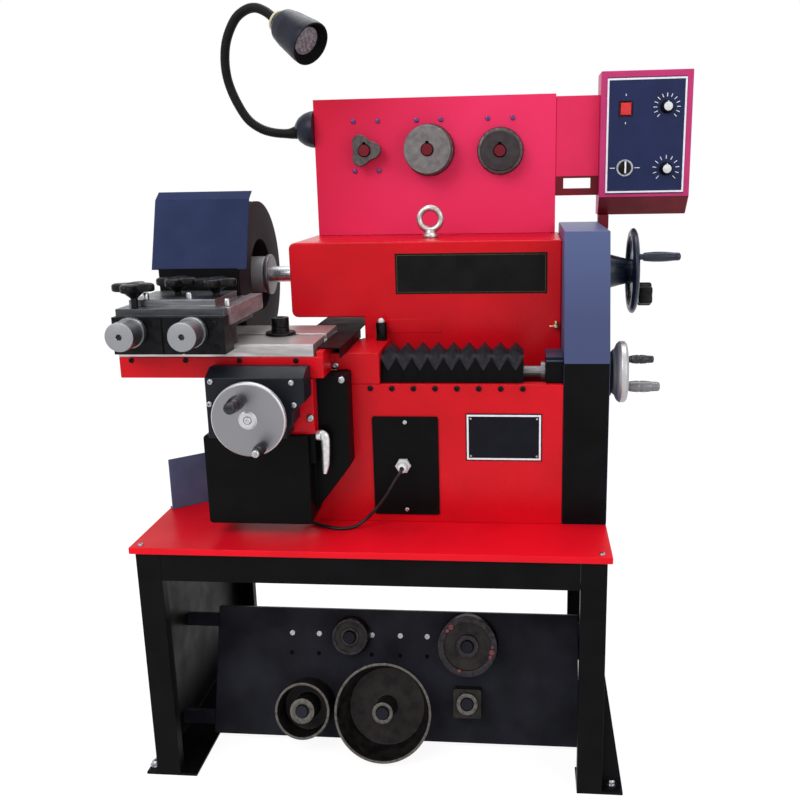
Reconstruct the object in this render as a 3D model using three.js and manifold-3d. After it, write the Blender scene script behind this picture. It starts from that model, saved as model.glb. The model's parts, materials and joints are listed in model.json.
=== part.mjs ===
// A brake lathe on its stand: it turns brake discs and drums on an arbor and skims them with a twin cutter.
// Millimetres, +Z up, +X to the right of the operator, +Y to the back.
// The pieces are modelled from the middle of the stand's front edge on the floor, and the whole group is
// then moved so that its origin is the middle of the floor under it.
import * as THREE from "three";
import { mergeVertices } from "three/addons/utils/BufferGeometryUtils.js";
import Module from "manifold-3d";

const wasm = await Module();
wasm.setup();

// Driving dimensions
const gap = 0.3; // between faces that touch
const running = 0.5; // round anything that turns or slides
const overrun = 2; // how far a cut reaches past the face that it opens
const sheet = 3; // folded sheet metal
const wall = 10; // cast walls
const sides = 28; // facets of a large round

const bench = { width: 830, depth: 550, height: 455, lip: 12, inset: 8 };
const leg = { front: 44, rear: 40, lip: 22 };
const foot = { length: 70, sill: 75, left: 21, right: 37, thick: 5, gusset: 235 };
const rail = { height: 61, flange: 24 };

const board = { left: -338, right: 372, length: 246, lean: 19.7, y: 128, z: 11, fold: 16, rail: 24 };
const hanger = { radius: 11.5, tail: 6 };

const bed = { left: -45, right: 335.7, front: 146, back: 523, height: 258.5, footSpread: 85, footRise: 112 };
const way = { y: 202, top: 60, bottom: 84, depth: 34 };
const head = { left: -179, step: -38, front: 298, back: 523, underside: 355, top: 497, round: 12 };
const spindleAxis = { y: 400, z: 428 };
const screwAxis = { y: 202, z: 270 };

const guard = { left: 336, width: 79, front: 145, kneeZ: 296, topY: 207, topZ: 518, back: 523, round: 22 };

const carriage = { beamLeft: -431, beamRight: -72, beamFront: 75, beamBack: 290, beamUnder: 285, beamTop: 322 };
const endBlock = { left: -43, right: 12, back: 297.5, top: 315 };
const table = { left: -431, right: -88, front: 75, back: 278, thick: 21, slotY: 176 };
const tail = { centre: -262, top: 122, bottom: 112, height: 5.5 };

// Shapes
// A closed three.js geometry as a solid that can be joined and cut.
function toSolid(geometry) {
  const bare = new THREE.BufferGeometry();
  const source = geometry.index ? geometry.toNonIndexed() : geometry;
  bare.setAttribute("position", source.getAttribute("position").clone());
  const merged = mergeVertices(bare, 1e-3);
  const index = merged.index.array;
  const triangles = [];
  for (let i = 0; i < index.length; i += 3) {
    const [a, b, c] = [index[i], index[i + 1], index[i + 2]];
    if (a !== b && b !== c && c !== a) triangles.push(a, b, c);
  }
  const make = (list) =>
    new wasm.Manifold(
      new wasm.Mesh({
        numProp: 3,
        vertProperties: new Float32Array(merged.attributes.position.array),
        triVerts: new Uint32Array(list),
      }),
    );
  const made = make(triangles);
  if (made.volume() > 0) return made;
  const turned = [];
  for (let i = 0; i < triangles.length; i += 3) turned.push(triangles[i], triangles[i + 2], triangles[i + 1]);
  return make(turned);
}

function toGeometry(solid) {
  const mesh = solid.getMesh();
  const geometry = new THREE.BufferGeometry();
  geometry.setAttribute("position", new THREE.BufferAttribute(Float32Array.from(mesh.vertProperties), 3));
  geometry.setIndex(new THREE.BufferAttribute(Uint32Array.from(mesh.triVerts), 1));
  geometry.computeVertexNormals();
  return geometry;
}

const join = (...solids) => solids.reduce((a, b) => a.add(b));
const cut = (solid, ...cutters) => cutters.reduce((a, b) => a.subtract(b), solid);

function block(x0, x1, y0, y1, z0, z1) {
  const geometry = new THREE.BoxGeometry(x1 - x0, y1 - y0, z1 - z0);
  geometry.translate((x0 + x1) / 2, (y0 + y1) / 2, (z0 + z1) / 2);
  return toSolid(geometry);
}

// Rounds the corners of an outline: a point is [u, v] or [u, v, radius].
function rounded(points, steps = 4) {
  const out = [];
  points.forEach(([u, v, radius = 0], i) => {
    const [pu, pv] = points[(i + points.length - 1) % points.length];
    const [nu, nv] = points[(i + 1) % points.length];
    if (!radius) {
      out.push(new THREE.Vector2(u, v));
      return;
    }
    const before = new THREE.Vector2(pu - u, pv - v).normalize();
    const after = new THREE.Vector2(nu - u, nv - v).normalize();
    const half = Math.acos(THREE.MathUtils.clamp(before.dot(after), -1, 1)) / 2;
    const reach = radius / Math.tan(half);
    const centre = before.clone().add(after).normalize().multiplyScalar(radius / Math.sin(half));
    const start = before.clone().multiplyScalar(reach).sub(centre);
    const end = after.clone().multiplyScalar(reach).sub(centre);
    const turn = Math.atan2(start.x * end.y - start.y * end.x, start.dot(end));
    for (let k = 0; k <= steps; k += 1) {
      const arm = start.clone().rotateAround(new THREE.Vector2(), (turn * k) / steps);
      out.push(new THREE.Vector2(u + centre.x + arm.x, v + centre.y + arm.y));
    }
  });
  return out;
}

// An outline carried along an axis: it is drawn in (y, z) for x, (x, z) for y and (x, y) for z.
function prism(axis, points, from, to, holes = []) {
  const shape = new THREE.Shape(rounded(points));
  holes.forEach((hole) => shape.holes.push(new THREE.Path(rounded(hole))));
  const geometry = new THREE.ExtrudeGeometry(shape, { depth: to - from, bevelEnabled: false });
  const basis = {
    x: [new THREE.Vector3(0, 1, 0), new THREE.Vector3(0, 0, 1), new THREE.Vector3(1, 0, 0)],
    y: [new THREE.Vector3(1, 0, 0), new THREE.Vector3(0, 0, 1), new THREE.Vector3(0, -1, 0)],
    z: [new THREE.Vector3(1, 0, 0), new THREE.Vector3(0, 1, 0), new THREE.Vector3(0, 0, 1)],
  }[axis];
  const matrix = new THREE.Matrix4().makeBasis(...basis);
  matrix.setPosition(basis[2].multiplyScalar(axis === "y" ? -to : from));
  geometry.applyMatrix4(matrix);
  return toSolid(geometry);
}

// Turns a geometry that stands on the Y axis onto another axis through (u, v).
function stand(geometry, axis, [u, v]) {
  if (axis === "x") geometry.rotateZ(-Math.PI / 2).translate(0, u, v);
  if (axis === "y") geometry.translate(u, 0, v);
  if (axis === "z") geometry.rotateX(Math.PI / 2).translate(u, v, 0);
  return toSolid(geometry);
}

function cone(axis, centre, r0, r1, from, to, facets = sides) {
  const geometry = new THREE.CylinderGeometry(r1, r0, to - from, facets);
  geometry.translate(0, (from + to) / 2, 0);
  return stand(geometry, axis, centre);
}

const rod = (axis, centre, radius, from, to, facets = sides) => cone(axis, centre, radius, radius, from, to, facets);

// A turned piece: the profile is [radius, place along the axis] and starts and ends on the axis.
function turned(axis, centre, profile, facets = sides) {
  const points = profile.map(([r, s]) => new THREE.Vector2(r, s));
  return stand(new THREE.LatheGeometry(points, facets), axis, centre);
}

function ring(axis, centre, outer, inner, from, to, facets = sides) {
  return cut(rod(axis, centre, outer, from, to, facets), rod(axis, centre, inner, from - overrun, to + overrun, facets));
}

// A round tube along a smooth curve through points.
function tube(points, radius, facets, steps) {
  const path = new THREE.CatmullRomCurve3(points.map((p) => new THREE.Vector3(...p)));
  const shape = new THREE.Shape();
  for (let i = 0; i < facets; i += 1) {
    const a = (2 * Math.PI * i) / facets;
    shape[i ? "lineTo" : "moveTo"](radius * Math.cos(a), radius * Math.sin(a));
  }
  return toSolid(new THREE.ExtrudeGeometry(shape, { steps, bevelEnabled: false, extrudePath: path }));
}

// The stand is drawn from the floor. All that stands on it is drawn from the bench top, in a group of its own.
const machine = new THREE.Group();
machine.name = "brake_lathe";
const onBench = new THREE.Group();
onBench.position.z = bench.height;
machine.add(onBench);
let assembly = machine;
const looks = {
  redPaint: { color: 0xc4122a, roughness: 0.35, metalness: 0.1 },
  blackPaint: { color: 0x141416, roughness: 0.55, metalness: 0.1 },
  bluePaint: { color: 0x2b3352, roughness: 0.4, metalness: 0.2 },
  steel: { color: 0x9b9b9a, roughness: 0.35, metalness: 1 },
  aluminium: { color: 0xb9bcc0, roughness: 0.45, metalness: 1 },
  blackSteel: { color: 0x2a2a28, roughness: 0.5, metalness: 0.8 },
  castIron: { color: 0x4a423e, roughness: 0.7, metalness: 0.6 },
  blackPlastic: { color: 0x111113, roughness: 0.5, metalness: 0 },
  whitePlastic: { color: 0xe8e8e6, roughness: 0.4, metalness: 0 },
  redPlastic: { color: 0xd21a20, roughness: 0.3, metalness: 0 },
  rubber: { color: 0x17181a, roughness: 0.8, metalness: 0 },
};

function add(name, solid, look) {
  const mesh = new THREE.Mesh(toGeometry(solid), new THREE.MeshStandardMaterial(looks[look]));
  mesh.name = name;
  assembly.add(mesh);
}

// The stand: two folded end panels, rails between them and the folded red top.
const half = bench.width / 2;
const deck = bench.height;
const legBack = bench.depth - bench.inset;

function endPanel(side) {
  const outer = side * (half - bench.inset);
  const x = (reach) => outer - side * reach;
  const top = deck - sheet - gap;
  const web = prism("z", [
    [x(0), bench.inset],
    [x(leg.front), bench.inset],
    [x(leg.front), bench.inset + leg.lip],
    [x(leg.front - sheet), bench.inset + leg.lip],
    [x(leg.front - sheet), bench.inset + sheet],
    [x(sheet), bench.inset + sheet],
    [x(sheet), legBack - sheet],
    [x(leg.rear - sheet), legBack - sheet],
    [x(leg.rear - sheet), legBack - leg.lip],
    [x(leg.rear), legBack - leg.lip],
    [x(leg.rear), legBack],
    [x(0), legBack],
  ], 0, top);
  const plateIn = x(side > 0 ? leg.front : foot.sill);
  const plateOut = x(side > 0 ? -foot.right : -foot.left);
  const [x0, x1] = [Math.min(plateIn, plateOut), Math.max(plateIn, plateOut)];
  const front = block(x0, x1, bench.inset, bench.inset + foot.length, 0, foot.thick);
  const rear = block(x0, x1, legBack - foot.length, legBack, 0, foot.thick);
  if (side < 0) return join(web, front, rear, block(x(0), plateIn, bench.inset, legBack, 0, foot.thick));
  const y0 = bench.inset + leg.lip;
  const gusset = prism("y", [
    [x(sheet / 2), foot.thick / 2],
    [x(sheet / 2), foot.gusset],
    [x(0), foot.gusset],
    [plateOut, foot.thick],
    [plateOut, foot.thick / 2],
  ], y0, y0 + sheet);
  return join(web, front, rear, gusset);
}
add("left_end_panel", endPanel(-1), "blackPaint");
add("right_end_panel", endPanel(1), "blackPaint");

function crossRail(y, inwards, reach) {
  const length = half - bench.inset - reach - gap;
  const top = deck - sheet - gap;
  const u = (d) => y + inwards * d;
  return prism("x", [
    [u(0), top],
    [u(0), top - rail.height],
    [u(rail.flange), top - rail.height],
    [u(rail.flange), top - rail.height + sheet],
    [u(sheet), top - rail.height + sheet],
    [u(sheet), top - sheet],
    [u(rail.flange), top - sheet],
    [u(rail.flange), top],
  ], -length, length);
}
add("front_rail", crossRail(bench.inset, 1, leg.front), "blackPaint");
add("rear_rail", crossRail(legBack, -1, leg.rear), "blackPaint");

const inside = bench.inset - gap;
add("bench_top", cut(
  block(-half, half, 0, bench.depth, deck - bench.lip, deck),
  block(-half + inside, half - inside, inside, bench.depth - inside, deck - bench.lip - overrun, deck - sheet),
), "redPaint");

// The leaning board under the bench, with its welded hangers and the adapters that hang on them.
// An adapter's place is u along the board from its middle and w up the board from its lower edge.
const lowerAdapters = [
  { name: "drum_cup_large", u: 6, w: 66, outer: 92, back: 71, rim: 7, depth: 70, hub: 20, base: 9 },
  { name: "drum_cup_small", u: -149, w: 62, outer: 53, back: 50, rim: 7, depth: 62, hub: 24, base: 9 },
  { name: "centring_disc_small", u: -68, w: 196, outer: 35, back: 38, rim: 6, depth: 24, hub: 18, base: 22 },
  { name: "centring_disc_large", u: 161, w: 186, outer: 57, back: 59, rim: 12, depth: 32, hub: 22, base: 27 },
];
const spacer = { name: "square_spacer", u: 162, w: 80, width: 54, depth: 32, corner: 5 };
const adapterBore = 12.7;

// The board's own frame: u along it, v out of its face, w up it.
function onBoard(solid) {
  const turn = new THREE.Matrix4().makeRotationX(THREE.MathUtils.degToRad(-board.lean));
  turn.setPosition(0, board.y, board.z);
  return solid.transform(turn.elements);
}

const panelEnd = half - bench.inset - sheet - gap;
const boardSheet = prism("x", [
  [0, 0],
  [board.fold, 0],
  [board.fold, sheet],
  [sheet, sheet],
  [sheet, board.length - sheet],
  [board.fold, board.length - sheet],
  [board.fold, board.length],
  [0, board.length],
], board.left, board.right);
const boardRails = [board.fold, board.length - board.fold - board.rail].map((w) =>
  block(-panelEnd, panelEnd, sheet / 2, sheet + board.rail, w, w + board.rail));
const hangerRods = [...lowerAdapters, spacer].map(({ u, w, depth }) =>
  rod("y", [u, w], hanger.radius, -depth - hanger.tail, sheet / 2, 12));
add("storage_board", onBoard(join(boardSheet, ...boardRails, ...hangerRods)), "bluePaint");

lowerAdapters.forEach(({ name, u, w, outer, back, rim, depth, hub, base }) => {
  const at = [u, w];
  const cup = turned("y", at, [
    [0, -depth],
    [hub, -depth],
    [hub, -base],
    [back + ((outer - back) * base) / depth - rim, -base],
    [outer - rim, -depth],
    [outer, -depth],
    [back, -gap],
    [0, -gap],
  ]);
  add(name, onBoard(cut(cup, rod("y", at, adapterBore, -depth - overrun, overrun, 16))), "castIron");
});
const [su, sw] = [spacer.u, spacer.w];
const sr = spacer.width / 2;
const spacerOutline = [[-1, -1], [1, -1], [1, 1], [-1, 1]].map(([a, b]) => [su + a * sr, sw + b * sr, spacer.corner]);
add(spacer.name, onBoard(cut(
  prism("y", spacerOutline, -spacer.depth, -gap),
  rod("y", [su, sw], adapterBore, -spacer.depth - overrun, overrun, 16),
)), "castIron");

// The red bed: a hollow casting with a spread foot and dovetail ways along its top.
assembly = onBench;
const bedTop = bed.height;
const bedFloor = gap;
const wayFloor = bedTop - way.depth;
const cavity = { roof: wayFloor - wall - wall / 2 };
const hatch = { left: -4, width: 119, low: 15, height: 185, border: 11, thick: 3, round: 4 };
const hatchZ = hatch.low;
const motor = { left: 96, right: 282, radius: 66, z: 105, base: 118, shaft: 12, pulley: 34, footHeight: 16 };
const pulley = { x: 350, width: 30, flange: 4, groove: 6, spindle: 82 };

const wayOutline = (slack) => [
  [way.y - way.bottom / 2 - slack, wayFloor - slack],
  [way.y + way.bottom / 2 + slack, wayFloor - slack],
  [way.y + way.top / 2 + slack, bedTop + slack],
  [way.y - way.top / 2 - slack, bedTop + slack],
];
const bedBody = prism("y", [
  [bed.left - bed.footSpread, bedFloor],
  [bed.right, bedFloor],
  [bed.right, bedTop],
  [bed.left, bedTop],
  [bed.left, bedFloor + bed.footRise],
], bed.front, bed.back);
add("bed", cut(
  bedBody,
  block(bed.left + wall, bed.right - wall, bed.front + wall, bed.back - wall, bedFloor - overrun, cavity.roof),
  block(hatch.left + hatch.border, hatch.left + hatch.width - hatch.border, bed.front - overrun,
    bed.front + wall + overrun, hatchZ + hatch.border, hatchZ + hatch.height - hatch.border),
  prism("x", wayOutline(gap), bed.left - bed.footSpread, bed.right - wall),
  block(bed.left - overrun, bed.right - wall, way.y - way.top / 2 - gap, way.y + way.top / 2 + gap,
    bedTop - overrun, bedTop + overrun),
  rod("x", [spindleAxis.y, motor.z], motor.shaft * 2, bed.right - wall - overrun, bed.right + overrun, 16),
), "redPaint");

const coverOutline = [
  [hatch.left, hatchZ, hatch.round],
  [hatch.left + hatch.width, hatchZ, hatch.round],
  [hatch.left + hatch.width, hatchZ + hatch.height, hatch.round],
  [hatch.left, hatchZ + hatch.height, hatch.round],
];
const gland = { x: 51, z: 110, hole: 7, nut: 13.5, nutLength: 10, dome: 10, length: 24, bore: 4.2, tail: 5 };
const coverFront = bed.front - gap - hatch.thick;
add("access_cover", cut(
  prism("y", coverOutline, coverFront, bed.front - gap),
  rod("y", [gland.x, gland.z], gland.hole + gap, coverFront - overrun, bed.front, 16),
), "blackPaint");

const glandFront = coverFront - gland.length;
add("cable_gland", cut(
  join(
    rod("y", [gland.x, gland.z], gland.hole, coverFront - gap, bed.front + gland.tail, 16),
    rod("y", [gland.x, gland.z], gland.nut, coverFront - gland.nutLength, coverFront - gap, 6),
    cone("y", [gland.x, gland.z], gland.hole, gland.dome, glandFront, coverFront - gland.nutLength, 16),
  ),
  rod("y", [gland.x, gland.z], gland.bore, glandFront - overrun, bed.front + gland.tail + overrun, 12),
), "whitePlastic");

add("drive_motor", join(
  rod("x", [spindleAxis.y, motor.z], motor.radius, motor.left, motor.right, 24),
  rod("x", [spindleAxis.y, motor.z], motor.shaft, motor.right - overrun, pulley.x + pulley.width + running, 12),
  block(motor.left + wall, motor.right - wall, spindleAxis.y - motor.base / 2, spindleAxis.y + motor.base / 2,
    bedFloor, bedFloor + motor.footHeight),
  block(motor.left + wall * 2, motor.right - wall * 2, spindleAxis.y - motor.base / 4,
    spindleAxis.y + motor.base / 4, bedFloor, motor.z),
), "blackPaint");

function grooved(centre, radius, bore) {
  const [x0, x1] = [pulley.x, pulley.x + pulley.width];
  const rim = pulley.flange;
  const low = radius - pulley.groove;
  const body = turned("x", centre, [
    [0, x0],
    [radius, x0],
    [radius, x0 + rim],
    [low, x0 + rim],
    [low, x1 - rim],
    [radius, x1 - rim],
    [radius, x1],
    [0, x1],
  ]);
  return cut(body, rod("x", centre, bore, x0 - overrun, x1 + overrun, 16));
}
add("motor_pulley", grooved([spindleAxis.y, motor.z], motor.pulley, motor.shaft + running), "castIron");

const belt = { thick: 4 };
function beltLoop(extra) {
  const low = motor.pulley - pulley.groove + running + extra;
  const high = pulley.spindle - pulley.groove + running + extra;
  const span = spindleAxis.z - motor.z;
  const lean = Math.asin((high - low) / span);
  const points = [];
  const arcSteps = 20;
  for (let i = 0; i <= arcSteps; i += 1) {
    const a = Math.PI + lean + ((Math.PI - 2 * lean) * i) / arcSteps;
    points.push([spindleAxis.y + low * Math.cos(a), motor.z + low * Math.sin(a)]);
  }
  for (let i = 0; i <= arcSteps; i += 1) {
    const a = -lean + ((Math.PI + 2 * lean) * i) / arcSteps;
    points.push([spindleAxis.y + high * Math.cos(a), spindleAxis.z + high * Math.sin(a)]);
  }
  return points;
}
const beltX = [pulley.x + pulley.flange + running, pulley.x + pulley.width - pulley.flange - running];
add("drive_belt", prism("x", beltLoop(belt.thick), ...beltX, [beltLoop(0)]), "rubber");

// The headstock: a hood over the back of the bed with bosses for the spindle.
const boss = { outer: 42, length: 34 };
const headRight = bed.right;
const shaft = { radius: 21, thin: 16, nose: -184 };
const headShell = cut(
  prism("y", [
    [head.left, head.underside, head.round],
    [head.step, head.underside],
    [head.step, bedTop + gap],
    [headRight, bedTop + gap],
    [headRight, head.top],
    [head.left, head.top, head.round],
  ], head.front, head.back),
  prism("y", [
    [head.left + wall, head.underside + wall],
    [head.step + wall, head.underside + wall],
    [head.step + wall, bedTop - overrun],
    [headRight - wall, bedTop - overrun],
    [headRight - wall, head.top - wall],
    [head.left + wall, head.top - wall],
  ], head.front + wall, head.back - wall),
);
const spindleCentre = [spindleAxis.y, spindleAxis.z];
add("headstock", cut(
  join(
    headShell,
    rod("x", spindleCentre, boss.outer, head.left + wall / 2, head.left + wall + boss.length),
    rod("x", spindleCentre, boss.outer, headRight - wall - boss.length, headRight - wall / 2),
  ),
  rod("x", spindleCentre, shaft.radius + running, head.left - overrun, headRight + overrun),
), "redPaint");

const eye = { x: 82, y: 400, collar: 15, collarHeight: 10, ring: 21, wire: 6.2, rise: 36 };
const eyeRing = new THREE.TorusGeometry(eye.ring, eye.wire, 8, 20);
eyeRing.rotateX(Math.PI / 2).translate(eye.x, eye.y, head.top + gap + eye.rise);
add("lifting_eye", join(
  rod("z", [eye.x, eye.y], eye.collar, head.top + gap, head.top + gap + eye.collarHeight, 16),
  toSolid(eyeRing),
), "steel");

// The spindle with its flanged hub and nut, the brake disc that it holds and the parts that turn with it.
const disc = { left: -286, thick: 22, outer: 145, inner: 78, hatWall: 7, hatDepth: 45, face: 8, bore: 30 };
const hatLeft = disc.left - disc.hatDepth;
const hub = { radius: 36, collar: 40, collarLeft: -250, collarThick: 9 };
const nut = { radius: 27, thick: 18, end: 12, thread: 18 };
const wheel = { left: 469, thick: 13, outer: 82, rim: 15, web: 5, hub: 23, boss: 50, skirt: 35 };
const clampLeft = hatLeft + disc.face + gap;
add("spindle", join(grooved(spindleCentre, pulley.spindle, shaft.thin - overrun), turned("x", spindleCentre, [
  [0, hatLeft - gap - nut.thick - nut.end],
  [nut.thread, hatLeft - gap - nut.thick - nut.end],
  [nut.thread, hatLeft - gap - nut.thick],
  [nut.radius, hatLeft - gap - nut.thick],
  [nut.radius, hatLeft - gap],
  [shaft.thin, hatLeft - gap],
  [shaft.thin, clampLeft],
  [hub.radius, clampLeft],
  [hub.radius, hub.collarLeft],
  [hub.collar, hub.collarLeft],
  [hub.collar, hub.collarLeft + hub.collarThick],
  [shaft.thin, hub.collarLeft + hub.collarThick],
  [shaft.thin, shaft.nose],
  [shaft.radius, shaft.nose],
  [shaft.radius, headRight],
  [shaft.thin, headRight],
  [shaft.thin, wheel.left + wheel.thick],
  [0, wheel.left + wheel.thick],
])), "steel");

add("brake_disc", turned("x", spindleCentre, [
  [disc.bore, hatLeft],
  [disc.inner, hatLeft],
  [disc.inner, disc.left],
  [disc.outer, disc.left],
  [disc.outer, disc.left + disc.thick],
  [disc.inner - disc.hatWall, disc.left + disc.thick],
  [disc.inner - disc.hatWall, hatLeft + disc.face],
  [disc.bore, hatLeft + disc.face],
  [disc.bore, hatLeft],
], 36), "castIron");

const grip = { radius: 9.5, neck: 6, length: 78 };
// A grip's outline as shares of its radius and length, from the end of its bare neck.
const gripShares = [[0.8, 0.125], [1, 0.5], [0.85, 0.95], [0.5, 1], [0, 1]];
function gripRod(axis, centre, from, direction, { radius, neck, length }) {
  const s = (d) => from + direction * d;
  return turned(axis, centre, [
    [0, s(0)],
    [neck, s(0)],
    [neck, s(length * gripShares[0][1])],
    ...gripShares.map(([r, d]) => [radius * r, s(length * d)]),
  ], 12);
}
const wheelRight = wheel.left + wheel.thick;
const wheelBody = turned("x", spindleCentre, [
  [shaft.thin + gap, wheel.left - wheel.boss],
  [wheel.skirt, wheel.left - wheel.boss],
  [wheel.hub, wheel.left],
  [wheel.outer - wheel.rim, wheel.left + wheel.web],
  [wheel.outer - wheel.rim, wheel.left],
  [wheel.outer - wheel.rim / 4, wheel.left],
  [wheel.outer, wheel.left + wheel.thick / 3],
  [wheel.outer, wheel.left + (wheel.thick * 2) / 3],
  [wheel.outer - wheel.rim / 4, wheelRight],
  [wheel.outer - wheel.rim, wheelRight],
  [wheel.outer - wheel.rim, wheelRight - wheel.web / 2],
  [wheel.hub, wheelRight - wheel.web / 2],
  [wheel.hub, wheelRight],
  [shaft.thin + gap, wheelRight],
  [shaft.thin + gap, wheel.left - wheel.boss],
], 32);
const crank = { y: 344, z: 460 };
const lock = { y: 424, z: 379, stud: 6, studLength: 12, radius: 23, lobe: 0.14, lobes: 5, thick: 19 };
add("spindle_handwheel", join(
  wheelBody,
  gripRod("x", [crank.y, crank.z], wheelRight - overrun, 1, grip),
), "blackPlastic");

// A star knob's outline: a circle with a wave on its radius.
function star([u, v], radius, lobes, lobe, steps = 40) {
  return Array.from({ length: steps }, (_, i) => {
    const a = (2 * Math.PI * i) / steps;
    const r = radius * (1 - lobe + lobe * Math.cos(lobes * a));
    return [u + r * Math.cos(a), v + r * Math.sin(a)];
  });
}
add("wheel_lock_knob", join(
  rod("x", [lock.y, lock.z], lock.stud, wheelRight - wheel.web / 2 + gap, wheelRight + lock.studLength, 12),
  prism("x", star([lock.y, lock.z], lock.radius, lock.lobes, lock.lobe), wheelRight + lock.studLength - overrun / 2,
    wheelRight + lock.studLength + lock.thick),
), "blackPlastic");

// The belt guard at the right end, its upper front leaning back.
const guardRight = guard.left + guard.width;
const guardOutline = (inset) => [
  [guard.front + inset, bedFloor],
  [guard.back - inset, bedFloor],
  [guard.back - inset, guard.topZ - inset, guard.round],
  [guard.topY + inset, guard.topZ - inset],
  [guard.front + inset, guard.kneeZ],
];
const window = { y0: 330, y1: 500, z0: 45, z1: 480 };
const screwHole = 13;
add("belt_guard", cut(
  prism("x", guardOutline(0), guard.left, guardRight),
  prism("x", guardOutline(sheet).map(([y, z, r]) => [y, z === bedFloor ? bedFloor - overrun : z, r]),
    guard.left + sheet, guardRight - sheet),
  block(guard.left - overrun, guard.left + sheet + overrun, window.y0, window.y1, window.z0, window.z1),
  rod("x", spindleCentre, shaft.thin + running, guardRight - sheet - overrun, guardRight + overrun),
  rod("x", [screwAxis.y, screwAxis.z], screwHole, guard.left - overrun, guardRight + overrun, 20),
), "bluePaint");

// The feed screw, its bearing on the bed, its handwheel and the bellows that cover it.
const screwCentre = [screwAxis.y, screwAxis.z];
const screw = { left: -30, radius: 11, collar: 19, collarLeft: 297, collarThick: 7 };
const bearing = { left: 305, width: 88, height: 46, round: 8 };
const bearingTop = bedTop + gap + bearing.height;
add("screw_bearing", cut(
  prism("x", [
    [screwAxis.y - bearing.width / 2, bedTop + gap],
    [screwAxis.y + bearing.width / 2, bedTop + gap],
    [screwAxis.y + bearing.width / 2, bearingTop, bearing.round],
    [screwAxis.y - bearing.width / 2, bearingTop, bearing.round],
  ], bearing.left, guard.left - gap),
  rod("x", screwCentre, screw.radius + running, bearing.left - overrun, guard.left + overrun, 20),
), "blackPaint");

const plainWheel = { left: 434, thick: 14, outer: 55, bevel: 4, hub: 17, boss: 12 };
const plainRight = plainWheel.left + plainWheel.thick;
add("feed_screw", join(
  rod("x", screwCentre, screw.radius, screw.left, plainRight, 20),
  rod("x", screwCentre, screw.collar, screw.collarLeft, screw.collarLeft + screw.collarThick, 20),
), "steel");

// A plain disc handwheel: solid rim and web with two crank handles.
function plainDisc(axis, centre, back, direction, { thick, outer, bevel, hub: hubRadius, boss: bossLength }, bore) {
  const s = (d) => back + direction * d;
  return turned(axis, centre, [
    [bore, s(-bossLength)],
    [hubRadius, s(-bossLength)],
    [hubRadius, s(0)],
    [outer - bevel, s(0)],
    [outer, s(bevel)],
    [outer, s(thick - bevel)],
    [outer - bevel, s(thick)],
    [hubRadius, s(thick)],
    [hubRadius, s(thick + bevel / 2)],
    [bore, s(thick + bevel / 2)],
    [bore, s(-bossLength)],
  ], 32);
}
const longGrip = { radius: 10, neck: 6, length: 66 };
const shortGrip = { radius: 7.5, neck: 6, length: 47 };
const feedGrips = { longY: 26, longZ: -33, shortY: -22, shortZ: 27 };
add("feed_handwheel", join(
  plainDisc("x", screwCentre, plainWheel.left, 1, plainWheel, screw.radius + gap),
  gripRod("x", [screwAxis.y + feedGrips.longY, screwAxis.z + feedGrips.longZ], plainRight - overrun, 1, longGrip),
  gripRod("x", [screwAxis.y + feedGrips.shortY, screwAxis.z + feedGrips.shortZ], plainRight - overrun, 1, shortGrip),
), "aluminium");

const bellows = { right: 266, pleats: 9, width: 92, height: 62, fold: 15, chamfer: 13, boreWidth: 44, boreHeight: 34,
  rise: 1, cuff: 4 };
const bellowsLeft = endBlock.right + gap;
function bellowsRing(x, inset) {
  const [y0, y1] = [screwAxis.y - bellows.width / 2 + inset, screwAxis.y + bellows.width / 2 - inset];
  const z0 = bedTop + bellows.rise;
  const z1 = z0 + bellows.height - inset;
  const c = bellows.chamfer;
  return [
    [y0, z0], [screwAxis.y, z0], [y1, z0], [y1, z1 - c], [y1 - c, z1], [screwAxis.y, z1], [y0 + c, z1], [y0, z1 - c],
  ].map(([y, z]) => [x, y, z]);
}
function bellowsSolid() {
  const rings = [];
  const pitch = (bellows.right - bellowsLeft) / bellows.pleats;
  for (let i = 0; i <= 2 * bellows.pleats; i += 1) {
    rings.push(bellowsRing(bellowsLeft + (i * pitch) / 2, i % 2 ? 0 : bellows.fold));
  }
  const count = rings[0].length;
  const points = rings.flat(2);
  const faces = [];
  for (let r = 0; r + 1 < rings.length; r += 1) {
    for (let k = 0; k < count; k += 1) {
      const [a, b] = [r * count + k, r * count + ((k + 1) % count)];
      faces.push(a, b, b + count, a, b + count, a + count);
    }
  }
  const last = (rings.length - 1) * count;
  for (let k = 1; k + 1 < count; k += 1) {
    faces.push(0, k + 1, k);
    faces.push(last, last + k, last + k + 1);
  }
  const geometry = new THREE.BufferGeometry();
  geometry.setAttribute("position", new THREE.Float32BufferAttribute(points, 3));
  geometry.setIndex(faces);
  return toSolid(geometry);
}
add("screw_bellows", cut(
  bellowsSolid(),
  block(bellowsLeft - overrun, bellows.right - bellows.cuff, screwAxis.y - bellows.boreWidth / 2,
    screwAxis.y + bellows.boreWidth / 2, bedTop - overrun, bedTop + bellows.rise + bellows.boreHeight),
  rod("x", screwCentre, screw.radius + running, bellows.right - bellows.cuff - overrun, bellows.right + overrun, 20),
  block(bellows.right - bellows.cuff - overrun, bellows.right + overrun, screwAxis.y - screw.radius - running,
    screwAxis.y + screw.radius + running, bedTop - overrun, screwAxis.z),
), "rubber");

// The carriage: a dovetail slide in the bed, the red saddle on it and the feed gearbox below.
const slide = { left: -70, right: 180 };
add("bed_slide", prism("x", wayOutline(0).map(([y, z], i) => [y, i > 1 ? z - gap : z + gap]), slide.left, slide.right),
  "steel");

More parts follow.
